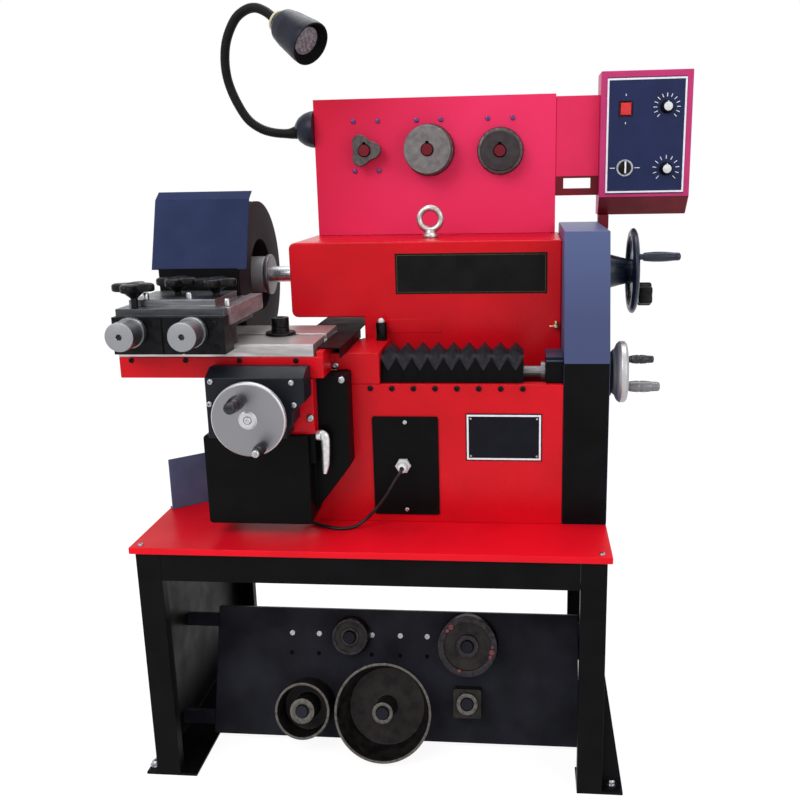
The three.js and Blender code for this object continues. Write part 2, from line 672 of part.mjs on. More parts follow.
const saddleFoot = { left: -70 };
const pad = { left: -84, right: -72, back: 290, height: 9 };
const tableUnder = carriage.beamTop + gap;
add("saddle", cut(
  join(
    block(carriage.beamLeft, carriage.beamRight, carriage.beamFront, carriage.beamBack, carriage.beamUnder,
      carriage.beamTop),
    block(carriage.beamRight - overrun, endBlock.left + overrun, bed.front, carriage.beamBack, carriage.beamUnder,
      endBlock.top),
    block(endBlock.left, endBlock.right, bed.front, endBlock.back, bedTop + gap, endBlock.top),
    block(saddleFoot.left, endBlock.left + overrun, way.y - way.top / 2, way.y + way.top / 2, bedTop + gap,
      carriage.beamUnder + overrun),
    block(pad.left, pad.right, carriage.beamFront + sheet, pad.back, carriage.beamTop - overrun,
      carriage.beamTop + pad.height),
    prism("y", [
      [tail.centre - tail.bottom / 2, carriage.beamTop - overrun],
      [tail.centre + tail.bottom / 2, carriage.beamTop - overrun],
      [tail.centre + tail.top / 2, carriage.beamTop + tail.height],
      [tail.centre - tail.top / 2, carriage.beamTop + tail.height],
    ], carriage.beamFront + wall, carriage.beamBack - wall),
  ),
  rod("x", screwCentre, screw.radius + running, screw.left - running, endBlock.right + overrun, 20),
), "redPaint");

const wayCover = { left: -85.5, right: -46, front: 100, back: 450, thick: 2.5, lip: 16, tabLeft: -141, tabFront: 281 };
const coverZ = carriage.beamTop + pad.height + gap;
add("way_cover", join(
  block(wayCover.left, wayCover.right, wayCover.front, wayCover.back, coverZ, coverZ + wayCover.thick),
  block(wayCover.tabLeft, wayCover.left + overrun, wayCover.tabFront, wayCover.back, coverZ, coverZ + wayCover.thick),
  block(wayCover.right - wayCover.thick, wayCover.right, wayCover.front, head.front, coverZ - wayCover.lip,
    coverZ + wayCover.thick / 2),
), "blackPaint");

const gearbox = { left: -258, right: -92, front: 73, back: 286, low: 135, boxLeft: -287, boxRight: -102,
  boxFront: 60, boxBack: 138, boxLow: 25, boxTop: 187, round: 6, cheekRight: -38, cheekFront: 100, cheekLow: 121,
  cheekFoot: 34 };
add("feed_gearbox", join(
  block(gearbox.left, gearbox.right, gearbox.front, gearbox.back, gearbox.low, carriage.beamUnder - gap),
  prism("y", [
    [gearbox.boxRight - overrun, gearbox.cheekFoot],
    [gearbox.cheekRight, gearbox.cheekLow],
    [gearbox.cheekRight, carriage.beamUnder - gap],
    [gearbox.boxRight - overrun, carriage.beamUnder - gap],
  ], gearbox.cheekFront, bed.front - running),
  prism("y", [
    [gearbox.boxLeft, gearbox.boxLow, gearbox.round],
    [gearbox.boxRight, gearbox.boxLow, gearbox.round],
    [gearbox.boxRight, gearbox.boxTop, gearbox.round],
    [gearbox.boxLeft, gearbox.boxTop, gearbox.round],
  ], gearbox.boxFront, gearbox.boxBack),
), "blackPaint");

const lid = { left: -262, right: -94, front: 20, topFront: 297, topBack: 310, low: 193, round: 5, boss: 24, bossReach: 8,
  ear: 257, notch: -116, notchTop: 237, notchLow: 219, corner: -128 };
const handAxis = { x: -180, z: 236 };
const handCentre = [handAxis.x, handAxis.z];
const arbor = { radius: 8, back: 40 };
const lidBack = carriage.beamFront - gap - overrun;
add("gearbox_cover", cut(
  join(
    prism("x", [
      [lid.front, lid.low],
      [lidBack, lid.low],
      [lidBack, lid.topBack, lid.round],
      [(lid.front + lidBack) / 2, lid.topBack],
      [lid.front, lid.topFront],
    ], lid.left, lid.right).intersect(prism("y", [
      [lid.left, lid.low],
      [lid.corner, lid.low],
      [lid.corner, lid.low + wall, lid.round],
      [lid.notch, lid.notchLow, lid.round],
      [lid.notch, lid.notchTop, lid.round],
      [lid.right, lid.ear, lid.round],
      [lid.right, lid.topBack],
      [lid.left, lid.topBack],
    ], lid.front, lidBack)),
    rod("y", handCentre, lid.boss, lid.front - lid.bossReach, lid.front + overrun, 24),
  ),
  rod("y", handCentre, arbor.radius + running, lid.front - lid.bossReach - overrun, lid.front + arbor.back, 16),
), "blackPaint");

const handWheel = { face: -20, thick: 13, outer: 62.5, bevel: 3, hub: 15, boss: 11 };
const handBack = handWheel.face + handWheel.thick;
const handGrips = { longX: -9, longZ: 35, shortX: 23, shortZ: -43 };
add("cross_handwheel", join(
  plainDisc("y", handCentre, handBack, -1, handWheel, 0),
  rod("y", handCentre, arbor.radius, handBack, lid.front + arbor.back - running, 16),
  gripRod("y", [handAxis.x + handGrips.longX, handAxis.z + handGrips.longZ], handWheel.face + overrun, -1, longGrip),
  gripRod("y", [handAxis.x + handGrips.shortX, handAxis.z + handGrips.shortZ], handWheel.face + overrun, -1, shortGrip),
), "aluminium");

const lever = { y: 82, z: 181, shaft: 8, out: 24, width: 12, length: 70, foot: 8, thick: 7, round: 5 };
const leverLeft = gearbox.right + gap;
const leverRight = leverLeft + lever.out;
add("feed_lever", join(
  rod("x", [lever.y, lever.z], lever.shaft, leverLeft, leverRight - lever.thick / 2, 16),
  prism("x", [
    [lever.y - lever.foot, lever.z - lever.length, lever.round],
    [lever.y + lever.foot, lever.z - lever.length, lever.round],
    [lever.y + lever.width, lever.z + lever.width, lever.round],
    [lever.y - lever.width, lever.z + lever.width, lever.round],
  ], leverRight - lever.thick, leverRight),
), "steel");

// The cross slide: the slotted table, its tee bolt and the twin cutter on it.
const slot = { width: 14, head: 25, headHeight: 6.5, depth: 12 };
const tableTop = tableUnder + table.thick;
add("slotted_table", cut(
  block(table.left, table.right, table.front, table.back, tableUnder, tableTop),
  block(table.left - overrun, table.right + overrun, table.slotY - slot.width / 2, table.slotY + slot.width / 2,
    tableTop - slot.depth, tableTop + overrun),
  block(table.left - overrun, table.right + overrun, table.slotY - slot.head / 2, table.slotY + slot.head / 2,
    tableTop - slot.depth, tableTop - slot.depth + slot.headHeight),
  prism("y", [
    [tail.centre - tail.bottom / 2 - running, tableUnder - overrun],
    [tail.centre + tail.bottom / 2 + running, tableUnder - overrun],
    [tail.centre + tail.top / 2 + running, carriage.beamTop + tail.height + running],
    [tail.centre - tail.top / 2 - running, carriage.beamTop + tail.height + running],
  ], carriage.beamFront + wall - running, table.back + overrun),
), "aluminium");

const post = { x: -170, flange: 27, flangeThick: 5, radius: 16, height: 31, stud: 6, head: 11 };
add("tee_bolt", join(
  rod("z", [post.x, table.slotY], post.flange, tableTop + gap, tableTop + gap + post.flangeThick, 20),
  rod("z", [post.x, table.slotY], post.radius, tableTop + gap, tableTop + gap + post.height, 20),
  rod("z", [post.x, table.slotY], post.stud, tableTop - slot.depth + running, tableTop + overrun, 12),
  block(post.x - post.head, post.x + post.head, table.slotY - post.head, table.slotY + post.head,
    tableTop - slot.depth + running, tableTop - slot.depth + slot.headHeight - running),
), "blackSteel");

const cutter = { left: -417, right: -225, front: 30, blockBack: 96, low: 335, top: 398, armRight: -291, armBack: 248,
  plateLeft: -414, plateRight: -227, plateFront: 42, plateBack: 196, plateThick: 12,
  padLeft: -403, padRight: -252, padFront: 74, padThick: 11, slit: 4, slitDepth: 6, slitAt: -300 };
const cutterFloor = tableTop + gap;
const plateTop = cutter.top + cutter.plateThick;
const padTop = plateTop + cutter.padThick;
const dial = { radius: 24, length: 54, collar: 25.5, collarLength: 12, bore: 5, boreDepth: 18, z: 374, front: -27,
  shaft: 7 };
const dialXs = { left: -381, right: -277 };
const toolBars = { left: { x: -317, width: 21, tip: 9.3 }, right: { x: -243, width: 22, tip: -20 } };
const toolBar = { front: 58, low: 381, high: 409, back: 250, seat: 8, tipLength: 14, tipHigh: 4, tipLow: 10 };
const barSeat = ({ x, width }, top) => block(x - gap, x + width + gap, toolBar.front - gap, toolBar.back + overrun,
  toolBar.low - gap, top);
const rightBar = toolBars.right;
add("cutter_body", cut(
  join(
    block(cutter.left, cutter.right, cutter.front, cutter.blockBack, cutterFloor, cutter.top),
    block(cutter.left, cutter.right, cutter.front, table.front - gap, cutter.low, cutterFloor + overrun),
    block(cutter.left, cutter.armRight, cutter.blockBack - overrun, cutter.armBack, cutterFloor, cutter.top),
    block(rightBar.x - toolBar.seat, cutter.right, cutter.blockBack - overrun, cutter.plateBack,
      toolBar.low - toolBar.seat, cutter.top),
    block(cutter.plateLeft, cutter.plateRight, cutter.plateFront, cutter.plateBack, cutter.top - overrun, plateTop),
    block(cutter.padLeft, cutter.padRight, cutter.padFront, cutter.plateBack, plateTop - overrun, padTop),
  ),
  block(cutter.slitAt, cutter.slitAt + cutter.slit, cutter.front - overrun, cutter.front + cutter.slitDepth,
    cutter.low - overrun, cutter.top - cutter.slitDepth),
  barSeat(toolBars.left, toolBar.high + gap),
  barSeat(rightBar, padTop + overrun),
  rod("y", [dialXs.left, dial.z], dial.shaft + running, cutter.front - overrun, cutter.front + wall, 16),
  rod("y", [dialXs.right, dial.z], dial.shaft + running, cutter.front - overrun, cutter.front + wall, 16),
), "blackSteel");

// A square bar with a cutting tip that looks at the disc.
Object.entries(toolBars).forEach(([side, { x, width, tip }]) => {
  const [x0, x1] = tip > 0 ? [x + width - overrun, x + width + tip] : [x + tip, x + overrun];
  add("tool_bar_" + side, join(
    block(x, x + width, toolBar.front, toolBar.back, toolBar.low, toolBar.high),
    block(x0, x1, toolBar.back - toolBar.tipLength, toolBar.back, toolBar.high - toolBar.tipLow,
      toolBar.high - toolBar.tipHigh),
  ), "blackSteel");
});

Object.entries(dialXs).forEach(([side, x]) => {
  const rear = dial.front + dial.length;
  add("dial_" + side, cut(
    join(
      rod("y", [x, dial.z], dial.radius, dial.front, rear - dial.collarLength),
      rod("y", [x, dial.z], dial.collar, rear - dial.collarLength - overrun / 4, rear),
      rod("y", [x, dial.z], dial.shaft, rear - overrun, cutter.front + wall - running, 16),
    ),
    rod("y", [x, dial.z], dial.bore, dial.front - overrun, dial.front + dial.boreDepth, 12),
  ), "aluminium");
});

const knob = { radius: 37, lobes: 4, lobe: 0.2, thick: 14, foot: 9, neck: 18, rise: 17, outerRise: 27 };
const clamps = { outer: { x: -386, y: 58 }, middle: { x: -338, y: 132 }, inner: { x: -264, y: 118 } };
Object.entries(clamps).forEach(([name, { x, y }]) => {
  const place = [x, y];
  const outer = name === "outer";
  const base = (outer ? plateTop : padTop) + gap;
  const under = base + (outer ? knob.outerRise : knob.rise);
  add("clamp_knob_" + name, join(
    cone("z", place, knob.foot, knob.neck, base, under + overrun / 2, 16),
    prism("z", star(place, knob.radius, knob.lobes, knob.lobe), under, under + knob.thick),
  ), "blackPlastic");
});

const shield = { left: -421, right: -241, y: 226, low: 456, lean: 46, high: 595, bend: 581, thick: 2.5,
  stemLeft: -408, stemRight: -322, footDepth: 18, skirtLow: 413, skirtRight: -258 };
const stemFoot = cutter.top + gap;
const shieldTopY = shield.y + shield.lean;
add("chip_shield", join(
  prism("x", [
    [shield.y, shield.low],
    [shield.y + shield.thick, shield.low],
    [shieldTopY + shield.thick, shield.bend],
    [shieldTopY + shield.lean / 2, shield.high],
    [shieldTopY + shield.lean / 2 - shield.thick, shield.high],
    [shieldTopY, shield.bend],
  ], shield.left, shield.right),
  block(shield.stemLeft, shield.skirtRight, shield.y, shield.y + shield.thick, shield.skirtLow, shield.low + overrun),
  block(shield.stemLeft, shield.stemRight, shield.y, shield.y + shield.thick, stemFoot, shield.skirtLow + overrun),
  block(shield.stemLeft, shield.stemRight, shield.y, shield.y + shield.footDepth, stemFoot, stemFoot + shield.thick),
), "bluePaint");

// The bent chip plate that stands on the bench behind the gearbox.
const chip = { thick: 2.5, height: 100, foot: 14, left: -406, leftY: 187, bendX: -343, bendY: 242, right: -296,
  rightY: 262 };
const chipLine = [[chip.left, chip.leftY], [chip.bendX, chip.bendY], [chip.right, chip.rightY]];
function along(line, offset) {
  return line.map(([x, y], i) => {
    const [px, py] = line[Math.max(i - 1, 0)];
    const [nx, ny] = line[Math.min(i + 1, line.length - 1)];
    const length = Math.hypot(nx - px, ny - py);
    return [x - ((ny - py) / length) * offset, y + ((nx - px) / length) * offset];
  });
}
const strip = (line, width) => [...line, ...along(line, width).reverse()];
add("chip_plate", join(
  prism("z", strip(chipLine, chip.thick), gap, gap + chip.height),
  prism("z", strip(chipLine, chip.foot), gap, gap + chip.thick),
), "bluePaint");

// The upper board with its hangers and adapters.
const upper = { left: -163, right: 328, front: 498, height: 272, fold: 24 };
const upperTop = head.top + upper.height;
const upperBase = head.top + gap;
const upperPlaces = {
  stepped_cone_left: { x: -56, z: 667, outer: 18, depth: 30, plate: 19, plateDepth: 13 },
  stepped_cone_middle: { x: 73, z: 666, outer: 47.5, depth: 44, plate: 52, plateDepth: 26 },
  stepped_cone_right: { x: 217, z: 661, outer: 39, depth: 34, plate: 47, plateDepth: 14 },
};
const upperPeg = { radius: 11.5, tail: 5 };
const hole = { radius: 4, row: 725, spread: 25, low: 627 };
const holes = [
  ...Object.values(upperPlaces).flatMap(({ x }) => [[x - hole.spread, hole.row], [x + hole.spread, hole.row]]),
  [upperPlaces.stepped_cone_left.x - hole.spread, hole.low],
  [upperPlaces.stepped_cone_left.x + hole.spread, hole.low],
];
const upperSheet = join(
  block(upper.left, upper.right, upper.front, upper.front + sheet, upperBase, upperTop),
  block(upper.left, upper.left + sheet, upper.front, upper.front + upper.fold, upperBase, upperTop),
  block(upper.right - sheet, upper.right, upper.front, upper.front + upper.fold, upperBase, upperTop),
  block(upper.left, upper.right, upper.front, upper.front + upper.fold, upperTop - sheet, upperTop),
  block(upper.left, upper.right, upper.front, upper.front + upper.fold, upperBase, upperBase + sheet),
);
add("tool_board", join(
  cut(upperSheet, ...holes.map((place) =>
    rod("y", place, hole.radius, upper.front - overrun, upper.front + sheet + overrun, 10))),
  ...Object.values(upperPlaces).map(({ x, z, depth }) =>
    rod("y", [x, z], upperPeg.radius, upper.front - depth - upperPeg.tail, upper.front + sheet / 2, 12)),
), "redPaint");

const upperRimShare = 0.95;
const lobed = { petals: 3, wave: 0.16, keyWidth: 8, keyDepth: 7 };
Object.entries(upperPlaces).forEach(([name, { x, z, outer, depth, plate, plateDepth }]) => {
  const back = upper.front - gap;
  const face = upper.front - depth;
  const bore = rod("y", [x, z], adapterBore, face - overrun, back + overrun, 16);
  const keyway = block(x - lobed.keyWidth / 2, x + lobed.keyWidth / 2, face - overrun, back + overrun, z,
    z + adapterBore + lobed.keyDepth / 2);
  const body = name.endsWith("left")
    ? join(
        prism("y", star([x, z], outer * (1 + lobed.wave) + plateDepth, lobed.petals, lobed.wave), face, face + plateDepth),
        rod("y", [x, z], plate, face + plateDepth - overrun, back),
      )
    : join(
        cone("y", [x, z], plate * upperRimShare, plate, back - plateDepth, back),
        rod("y", [x, z], outer, face, back - plateDepth + overrun),
      );
  add(name, cut(body, bore, keyway), "castIron");
});

// The arm and the control box at the operator's right hand.
const arm = { high: 764, fold: 20, bracketLow: 571, windowInset: 15.7, windowLow: 585, windowHigh: 605 };
const box = { left: 414, width: 176, front: 478, depth: 84, low: 567, high: 806, bevel: 36, round: 6, panel: 12,
  face: 2 };
const armLeft = upper.right + gap;
const armRight = box.left - gap;
const armY = upper.front + sheet;
add("box_arm", join(
  prism("y", [
    [armLeft, arm.bracketLow],
    [armRight, arm.bracketLow],
    [armRight, arm.high],
    [armLeft, arm.high],
  ], armY, armY + sheet, [[
    [armLeft + arm.windowInset, arm.windowLow],
    [armRight - arm.windowInset, arm.windowLow],
    [armRight - arm.windowInset, arm.windowHigh],
    [armLeft + arm.windowInset, arm.windowHigh],
  ]]),
  block(armLeft, armRight, armY, armY + arm.fold, arm.high - sheet, arm.high),
  block(armLeft, armRight, armY, armY + arm.fold, arm.bracketLow, arm.bracketLow + sheet),
  block(armLeft, armLeft + sheet, armY, armY + arm.fold, arm.bracketLow, arm.high),
  block(armRight - sheet, armRight, armY, armY + arm.fold, arm.bracketLow, arm.high),
), "redPaint");

const boxRight = box.left + box.width;
const boxBack = box.front + box.depth;
const controls = {
  power_switch: { x: 462, z: 735 },
  speed_knob: { x: 541, z: 737 },
  feed_knob: { x: 543, z: 620 },
  mode_selector: { x: 463, z: 623 },
};
const rocker = { width: 20, height: 24, depth: 9, proud: 5, slack: 0.8, pivot: 4 };
const potKnob = { shaft: 3, shaftIn: 10, skirt: 13, skirtLength: 5, cap: 9, capLength: 13 };
const selector = { shaft: 4, shaftIn: 10, base: 13, baseLength: 4, barWidth: 6, barLength: 12 };
const faceFront = box.front - box.face;
const rockerPlace = controls.power_switch;
const drill = ({ x, z }, radius) => rod("y", [x, z], radius, faceFront - overrun, box.front + potKnob.shaftIn + overrun, 12);
add("control_box", cut(
  join(
    prism("x", [
      [box.front, box.low],
      [box.front + box.bevel, box.low - box.bevel],
      [boxBack, box.low - box.bevel],
      [boxBack, box.high, box.round],
      [box.front, box.high],
    ], box.left, boxRight),
    block(box.left + box.panel, boxRight - box.panel, faceFront, box.front + overrun, box.low + box.panel / 2,
      box.high - box.panel),
  ),
  drill(controls.speed_knob, potKnob.shaft + running),
  drill(controls.feed_knob, potKnob.shaft + running),
  drill(controls.mode_selector, selector.shaft + running),
  block(rockerPlace.x - rocker.width / 2 - rocker.slack, rockerPlace.x + rocker.width / 2 + rocker.slack,
    faceFront - overrun, box.front + rocker.depth + rocker.slack,
    rockerPlace.z - rocker.height / 2 - rocker.slack, rockerPlace.z + rocker.height / 2 + rocker.slack),
), "redPaint");

const rockerFront = faceFront - rocker.proud;
add("power_switch", prism("x", [
  [box.front + rocker.slack * 2, rockerPlace.z - rocker.height / 4],
  [box.front + rocker.slack * 2, rockerPlace.z + rocker.height / 4],
  [faceFront, rockerPlace.z + rocker.height / 2 - rocker.slack],
  [rockerFront, rockerPlace.z + rocker.height / 2 - rocker.slack],
  [rockerFront + rocker.proud / 3, rockerPlace.z],
  [faceFront - rocker.proud / 3, rockerPlace.z - rocker.height / 2 + rocker.slack],
  [faceFront, rockerPlace.z - rocker.height / 2 + rocker.slack],
], rockerPlace.x - rocker.width / 2, rockerPlace.x + rocker.width / 2), "redPlastic");

["speed_knob", "feed_knob"].forEach((name) => {
  const { x, z } = controls[name];
  const base = faceFront - gap;
  add(name, join(
    rod("y", [x, z], potKnob.shaft, base - overrun, box.front + potKnob.shaftIn, 12),
    cone("y", [x, z], potKnob.cap + overrun, potKnob.skirt, base - potKnob.skirtLength, base, 24),
    cone("y", [x, z], potKnob.cap, potKnob.cap + overrun / 2, base - potKnob.skirtLength - potKnob.capLength,
      base - potKnob.skirtLength + overrun / 4, 24),
  ), "blackPlastic");
});
const modePlace = [controls.mode_selector.x, controls.mode_selector.z];
add("mode_selector", join(
  rod("y", modePlace, selector.shaft, faceFront - gap - overrun, box.front + selector.shaftIn, 12),
  rod("y", modePlace, selector.base, faceFront - gap - selector.baseLength, faceFront - gap, 24),
  block(modePlace[0] - selector.barWidth / 2, modePlace[0] + selector.barWidth / 2,
    faceFront - gap - selector.barLength, faceFront - gap - overrun, modePlace[1] - selector.base,
    modePlace[1] + selector.base),
), "blackPlastic");

// The work lamp: a dome on the board's side, a flexible neck and a cupped head.
const lamp = { baseZ: 712, baseY: 512, dome: 37, domeDepth: 43, neck: 7.4 };
// The neck's route as shares of its reach to the left, its draw to the front and its rise.
const neckShares = [
  [0, 0, 0], [-0.1606, -0.0235, -0.013], [-0.3942, -0.0588, 0], [-0.5839, -0.0941, 0.039],
  [-0.7591, -0.1412, 0.1212], [-0.9051, -0.2118, 0.2771], [-0.9927, -0.2824, 0.4459],
  [-1, -0.3647, 0.6104], [-0.9343, -0.4588, 0.7706], [-0.781, -0.5647, 0.9177], [-0.6058, -0.6588, 0.987],
  [-0.4307, -0.7529, 1], [-0.2701, -0.8471, 0.961], [-0.146, -0.9412, 0.9048], [-0.0876, -1, 0.881],
];
const neck = { x: -197, y: 511, z: 708, reach: 137, draw: 85, rise: 231 };
const neckPath = neckShares.map(([a, b, c]) => [neck.x + a * neck.reach, neck.y + b * neck.draw, neck.z + c * neck.rise]);
const domeX = upper.left - gap;
const domeShares = [[0.2, 1], [0.34, 0.95], [0.65, 0.77], [0.86, 0.51], [0.97, 0.23], [1, 0]];
const domeProfile = domeShares.map(([r, s]) => [lamp.dome * r, domeX - lamp.domeDepth * s]);
add("lamp_neck", join(
  turned("x", [lamp.baseY, lamp.baseZ], [[0, domeX - lamp.domeDepth], ...domeProfile, [0, domeX]], 24),
  tube(neckPath, lamp.neck, 10, 40),
), "blackPlastic");

const shade = { collar: 14, collarLength: 6, rear: 31, rearAt: 22, bulge: 37.8, bulgeAt: 55, outer: 42, brim: 90,
  length: 100, wall: 4, lens: 27.7, lensDepth: 16 };
const neckEnd = new THREE.Vector3(...neckPath[neckPath.length - 1]);
const aimShares = [0.74, -0.44, -0.51];
const shadeAim = new THREE.Vector3(...aimShares).normalize();
const shadeShape = turned("y", [0, 0], [
  [0, gap],
  [shade.collar, gap],
  [shade.collar, shade.collarLength],
  [shade.rear, shade.rearAt],
  [shade.bulge, shade.bulgeAt],
  [shade.outer, shade.brim],
  [shade.outer, shade.length],
  [shade.outer - shade.wall, shade.length],
  [shade.lens, shade.length - shade.lensDepth],
  [0, shade.length - shade.lensDepth],
], 32);
const shadeTurn = new THREE.Matrix4().makeRotationFromQuaternion(
  new THREE.Quaternion().setFromUnitVectors(new THREE.Vector3(0, 1, 0), shadeAim),
);
shadeTurn.setPosition(neckEnd.clone().addScaledVector(shadeAim, running));
add("lamp_head", shadeShape.transform(shadeTurn.elements), "blackPlastic");

// The cable from the gland along the bench to the gearbox's underside.
const cable = { radius: 3 };
const cablePath = [
  [51, 140, 110], [51, 130, 110], [51, 118, 110], [49, 111, 106], [43, 111, 97], [35, 111, 84],
  [25, 111, 67], [13, 112, 49], [0, 113, 33], [-14, 113, 18], [-30, 108, 7], [-44, 102, 3.6],
  [-58, 98, 3.4], [-76, 101, 3.4], [-94, 110, 3.4], [-110, 120, 3.6], [-124, 127, 5.5], [-134, 129, 11],
  [-138, 129, 18], [-138, 129, 24.2],
];
add("feed_cable", tube(cablePath, cable.radius, 8, 60), "rubber");

const extent = new THREE.Box3().setFromObject(machine);
machine.position.set(-(extent.min.x + extent.max.x) / 2, -(extent.min.y + extent.max.y) / 2, -extent.min.z);

export default machine;
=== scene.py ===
import json

import bmesh
import bpy
import numpy as np
from mathutils import Matrix

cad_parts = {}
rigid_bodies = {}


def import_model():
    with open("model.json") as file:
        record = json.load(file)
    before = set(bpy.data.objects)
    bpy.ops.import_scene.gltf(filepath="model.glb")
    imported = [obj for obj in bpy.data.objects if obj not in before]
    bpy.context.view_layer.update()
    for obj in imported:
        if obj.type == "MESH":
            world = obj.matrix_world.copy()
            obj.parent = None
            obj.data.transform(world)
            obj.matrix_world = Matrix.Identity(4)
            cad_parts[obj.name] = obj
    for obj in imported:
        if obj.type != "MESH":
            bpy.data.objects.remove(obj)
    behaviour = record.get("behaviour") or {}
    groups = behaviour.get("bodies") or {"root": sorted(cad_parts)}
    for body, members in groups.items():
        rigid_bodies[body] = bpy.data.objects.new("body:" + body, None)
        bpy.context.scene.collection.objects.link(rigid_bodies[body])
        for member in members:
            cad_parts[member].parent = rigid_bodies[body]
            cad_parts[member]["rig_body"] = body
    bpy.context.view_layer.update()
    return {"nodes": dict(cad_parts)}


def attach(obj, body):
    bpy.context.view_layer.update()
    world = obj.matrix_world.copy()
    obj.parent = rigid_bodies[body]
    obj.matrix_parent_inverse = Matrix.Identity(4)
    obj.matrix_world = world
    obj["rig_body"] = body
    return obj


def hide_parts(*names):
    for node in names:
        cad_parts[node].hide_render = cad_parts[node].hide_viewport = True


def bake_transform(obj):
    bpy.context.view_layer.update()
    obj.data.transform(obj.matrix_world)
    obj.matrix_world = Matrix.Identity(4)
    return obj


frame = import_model()

# The camera stands in front of the machine at chest height, a little to the right, and looks down
# at the bench. A 41.5 mm lens on a 36 mm sensor, with the small shift of the photograph's crop.
yaw, pitch, roll = np.radians([5.75, 13.76, -1.13])
ahead = np.array([-np.sin(yaw) * np.cos(pitch), np.cos(yaw) * np.cos(pitch), -np.sin(pitch)])
level = np.array([np.cos(yaw), np.sin(yaw), 0.0])
above = np.cross(level, ahead)
right = np.cos(roll) * level + np.sin(roll) * above
up = np.cos(roll) * above - np.sin(roll) * level
view = np.eye(4)
view[:3, 0], view[:3, 1], view[:3, 2], view[:3, 3] = right, up, -ahead, (0.1907, -1.6723, 1.0782)
lens = bpy.data.cameras.new("camera")
lens.lens, lens.sensor_width, lens.shift_x, lens.shift_y = 41.54, 36, -0.0444, -0.0029
camera = bpy.data.objects.new("camera", lens)
camera.matrix_world = Matrix(view.tolist())
bpy.context.scene.collection.objects.link(camera)
bpy.context.scene.camera = camera


# The feed cable: a round 6 mm lead with a black PVC jacket. It leaves the white gland, drops
# to the bench in one curve, lies on it and goes up into the underside of the feed gearbox.
stand_front = (-0.0795, -0.239, 0.0)


def place(points):
    """Drawing millimetres, from the floor under the middle of the stand's front edge, as
    the frame's metres."""
    return np.asarray(points, float) / 1000 + stand_front


def srgb(code):
    """An sRGB hex colour as linear red, green, blue and alpha."""
    share = np.array([int(code[i:i + 2], 16) for i in (1, 3, 5)]) / 255
    return (*np.where(share <= 0.04045, share / 12.92, ((share + 0.055) / 1.055) ** 2.4), 1.0)


def wire(material, kind, inputs, **settings):
    """Adds one node: an input is a value or another node's output, a setting is the node's own choice."""
    made = material.node_tree.nodes.new("ShaderNode" + kind)
    for name, value in settings.items():
        setattr(made, name, value)
    for name, value in inputs.items():
        if isinstance(value, bpy.types.NodeSocket):
            material.node_tree.links.new(value, made.inputs[name])
        else:
            made.inputs[name].default_value = value
    return made


# Noise seldom leaves this band, so a finish stretches the band to the whole way between its two colours.
noise_low, noise_high = 0.35, 0.65


def shaded(name, colour, second, pattern, roughness, spread, heights, depth, metallic=0.0, level=0.5,
           ior=1.5):
    """A finish from four fields: the pattern mixes two colours and moves the roughness by
    the spread, and the heights lift the surface by the depth in millimetres. The pattern
    and heights make their nodes themselves."""
    material = bpy.data.materials.new(name)
    material.use_nodes = True
    shader = material.node_tree.nodes["Principled BSDF"]
    for socket, value in {"Metallic": metallic, "Specular IOR Level": level, "IOR": ior}.items():
        shader.inputs[socket].default_value = value
    field = wire(material, "MapRange", {"Value": pattern(material), "From Min": noise_low,
                                        "From Max": noise_high}).outputs[0]
    mixed = wire(material, "Mix", {0: field, 6: srgb(colour), 7: srgb(second)}, data_type="RGBA")
    gloss = wire(material, "MapRange", {"Value": field, "To Min": roughness - spread,
                                        "To Max": roughness + spread})
    lifted = wire(material, "Bump", {"Height": heights(material), "Distance": depth / 1000, "Strength": 1.0})
    for socket, value in {"Base Color": mixed.outputs[2], "Roughness": gloss.outputs[0],
                          "Normal": lifted.outputs[0]}.items():
        material.node_tree.links.new(value, shader.inputs[socket])
    return material


def clouds(size, stretch=(1, 1, 1), detail=3.0):
    """Noise whose patches are this many millimetres across, drawn out along the axes by the stretch."""
    def make(material):
        where = wire(material, "TexCoord", {}).outputs["Object"]
        scaled = wire(material, "Mapping", {"Vector": where,
                                            "Scale": tuple(1000 / size / np.array(stretch))})
        return wire(material, "TexNoise", {"Vector": scaled.outputs[0], "Scale": 1.0,
                                           "Detail": detail}).outputs[0]
    return make


# PVC is a little shiny and picks up dust, which shows as a faint grey cloud.
pvc_jacket = shaded("extruded black PVC", "#121214", "#1e1e21", clouds(14), 0.42, 0.06, clouds(1.5), 0.02,
                    level=0.25, ior=1.53)
cable_route = place([[51, 140, 565], [51, 130, 565], [51, 118, 565], [49, 111, 561], [43, 111, 552],
                     [35, 111, 539], [25, 111, 522], [13, 112, 504], [0, 113, 488], [-14, 113, 473],
                     [-30, 108, 462], [-44, 102, 458.6], [-58, 98, 458.4], [-76, 101, 458.4],
                     [-94, 110, 458.4], [-110, 120, 458.6], [-124, 127, 460.5], [-134, 129, 466],
                     [-138, 129, 473], [-138, 129, 479.2]])
jacket = bpy.data.curves.new("feed_lead", "CURVE")
jacket.dimensions, jacket.bevel_depth, jacket.bevel_resolution, jacket.use_fill_caps = "3D", 0.003, 5, True
spline = jacket.splines.new("BEZIER")
spline.bezier_points.add(len(cable_route) - 1)
spline.bezier_points.foreach_set("co", cable_route.ravel())
for knot in spline.bezier_points:
    knot.handle_left_type = knot.handle_right_type = "AUTO"
spline.resolution_u = 6
jacket.materials.append(pvc_jacket)
feed_lead = bpy.data.objects.new("feed_lead", jacket)
bpy.context.scene.collection.objects.link(feed_lead)
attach(feed_lead, "frame")
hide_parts("feed_cable")


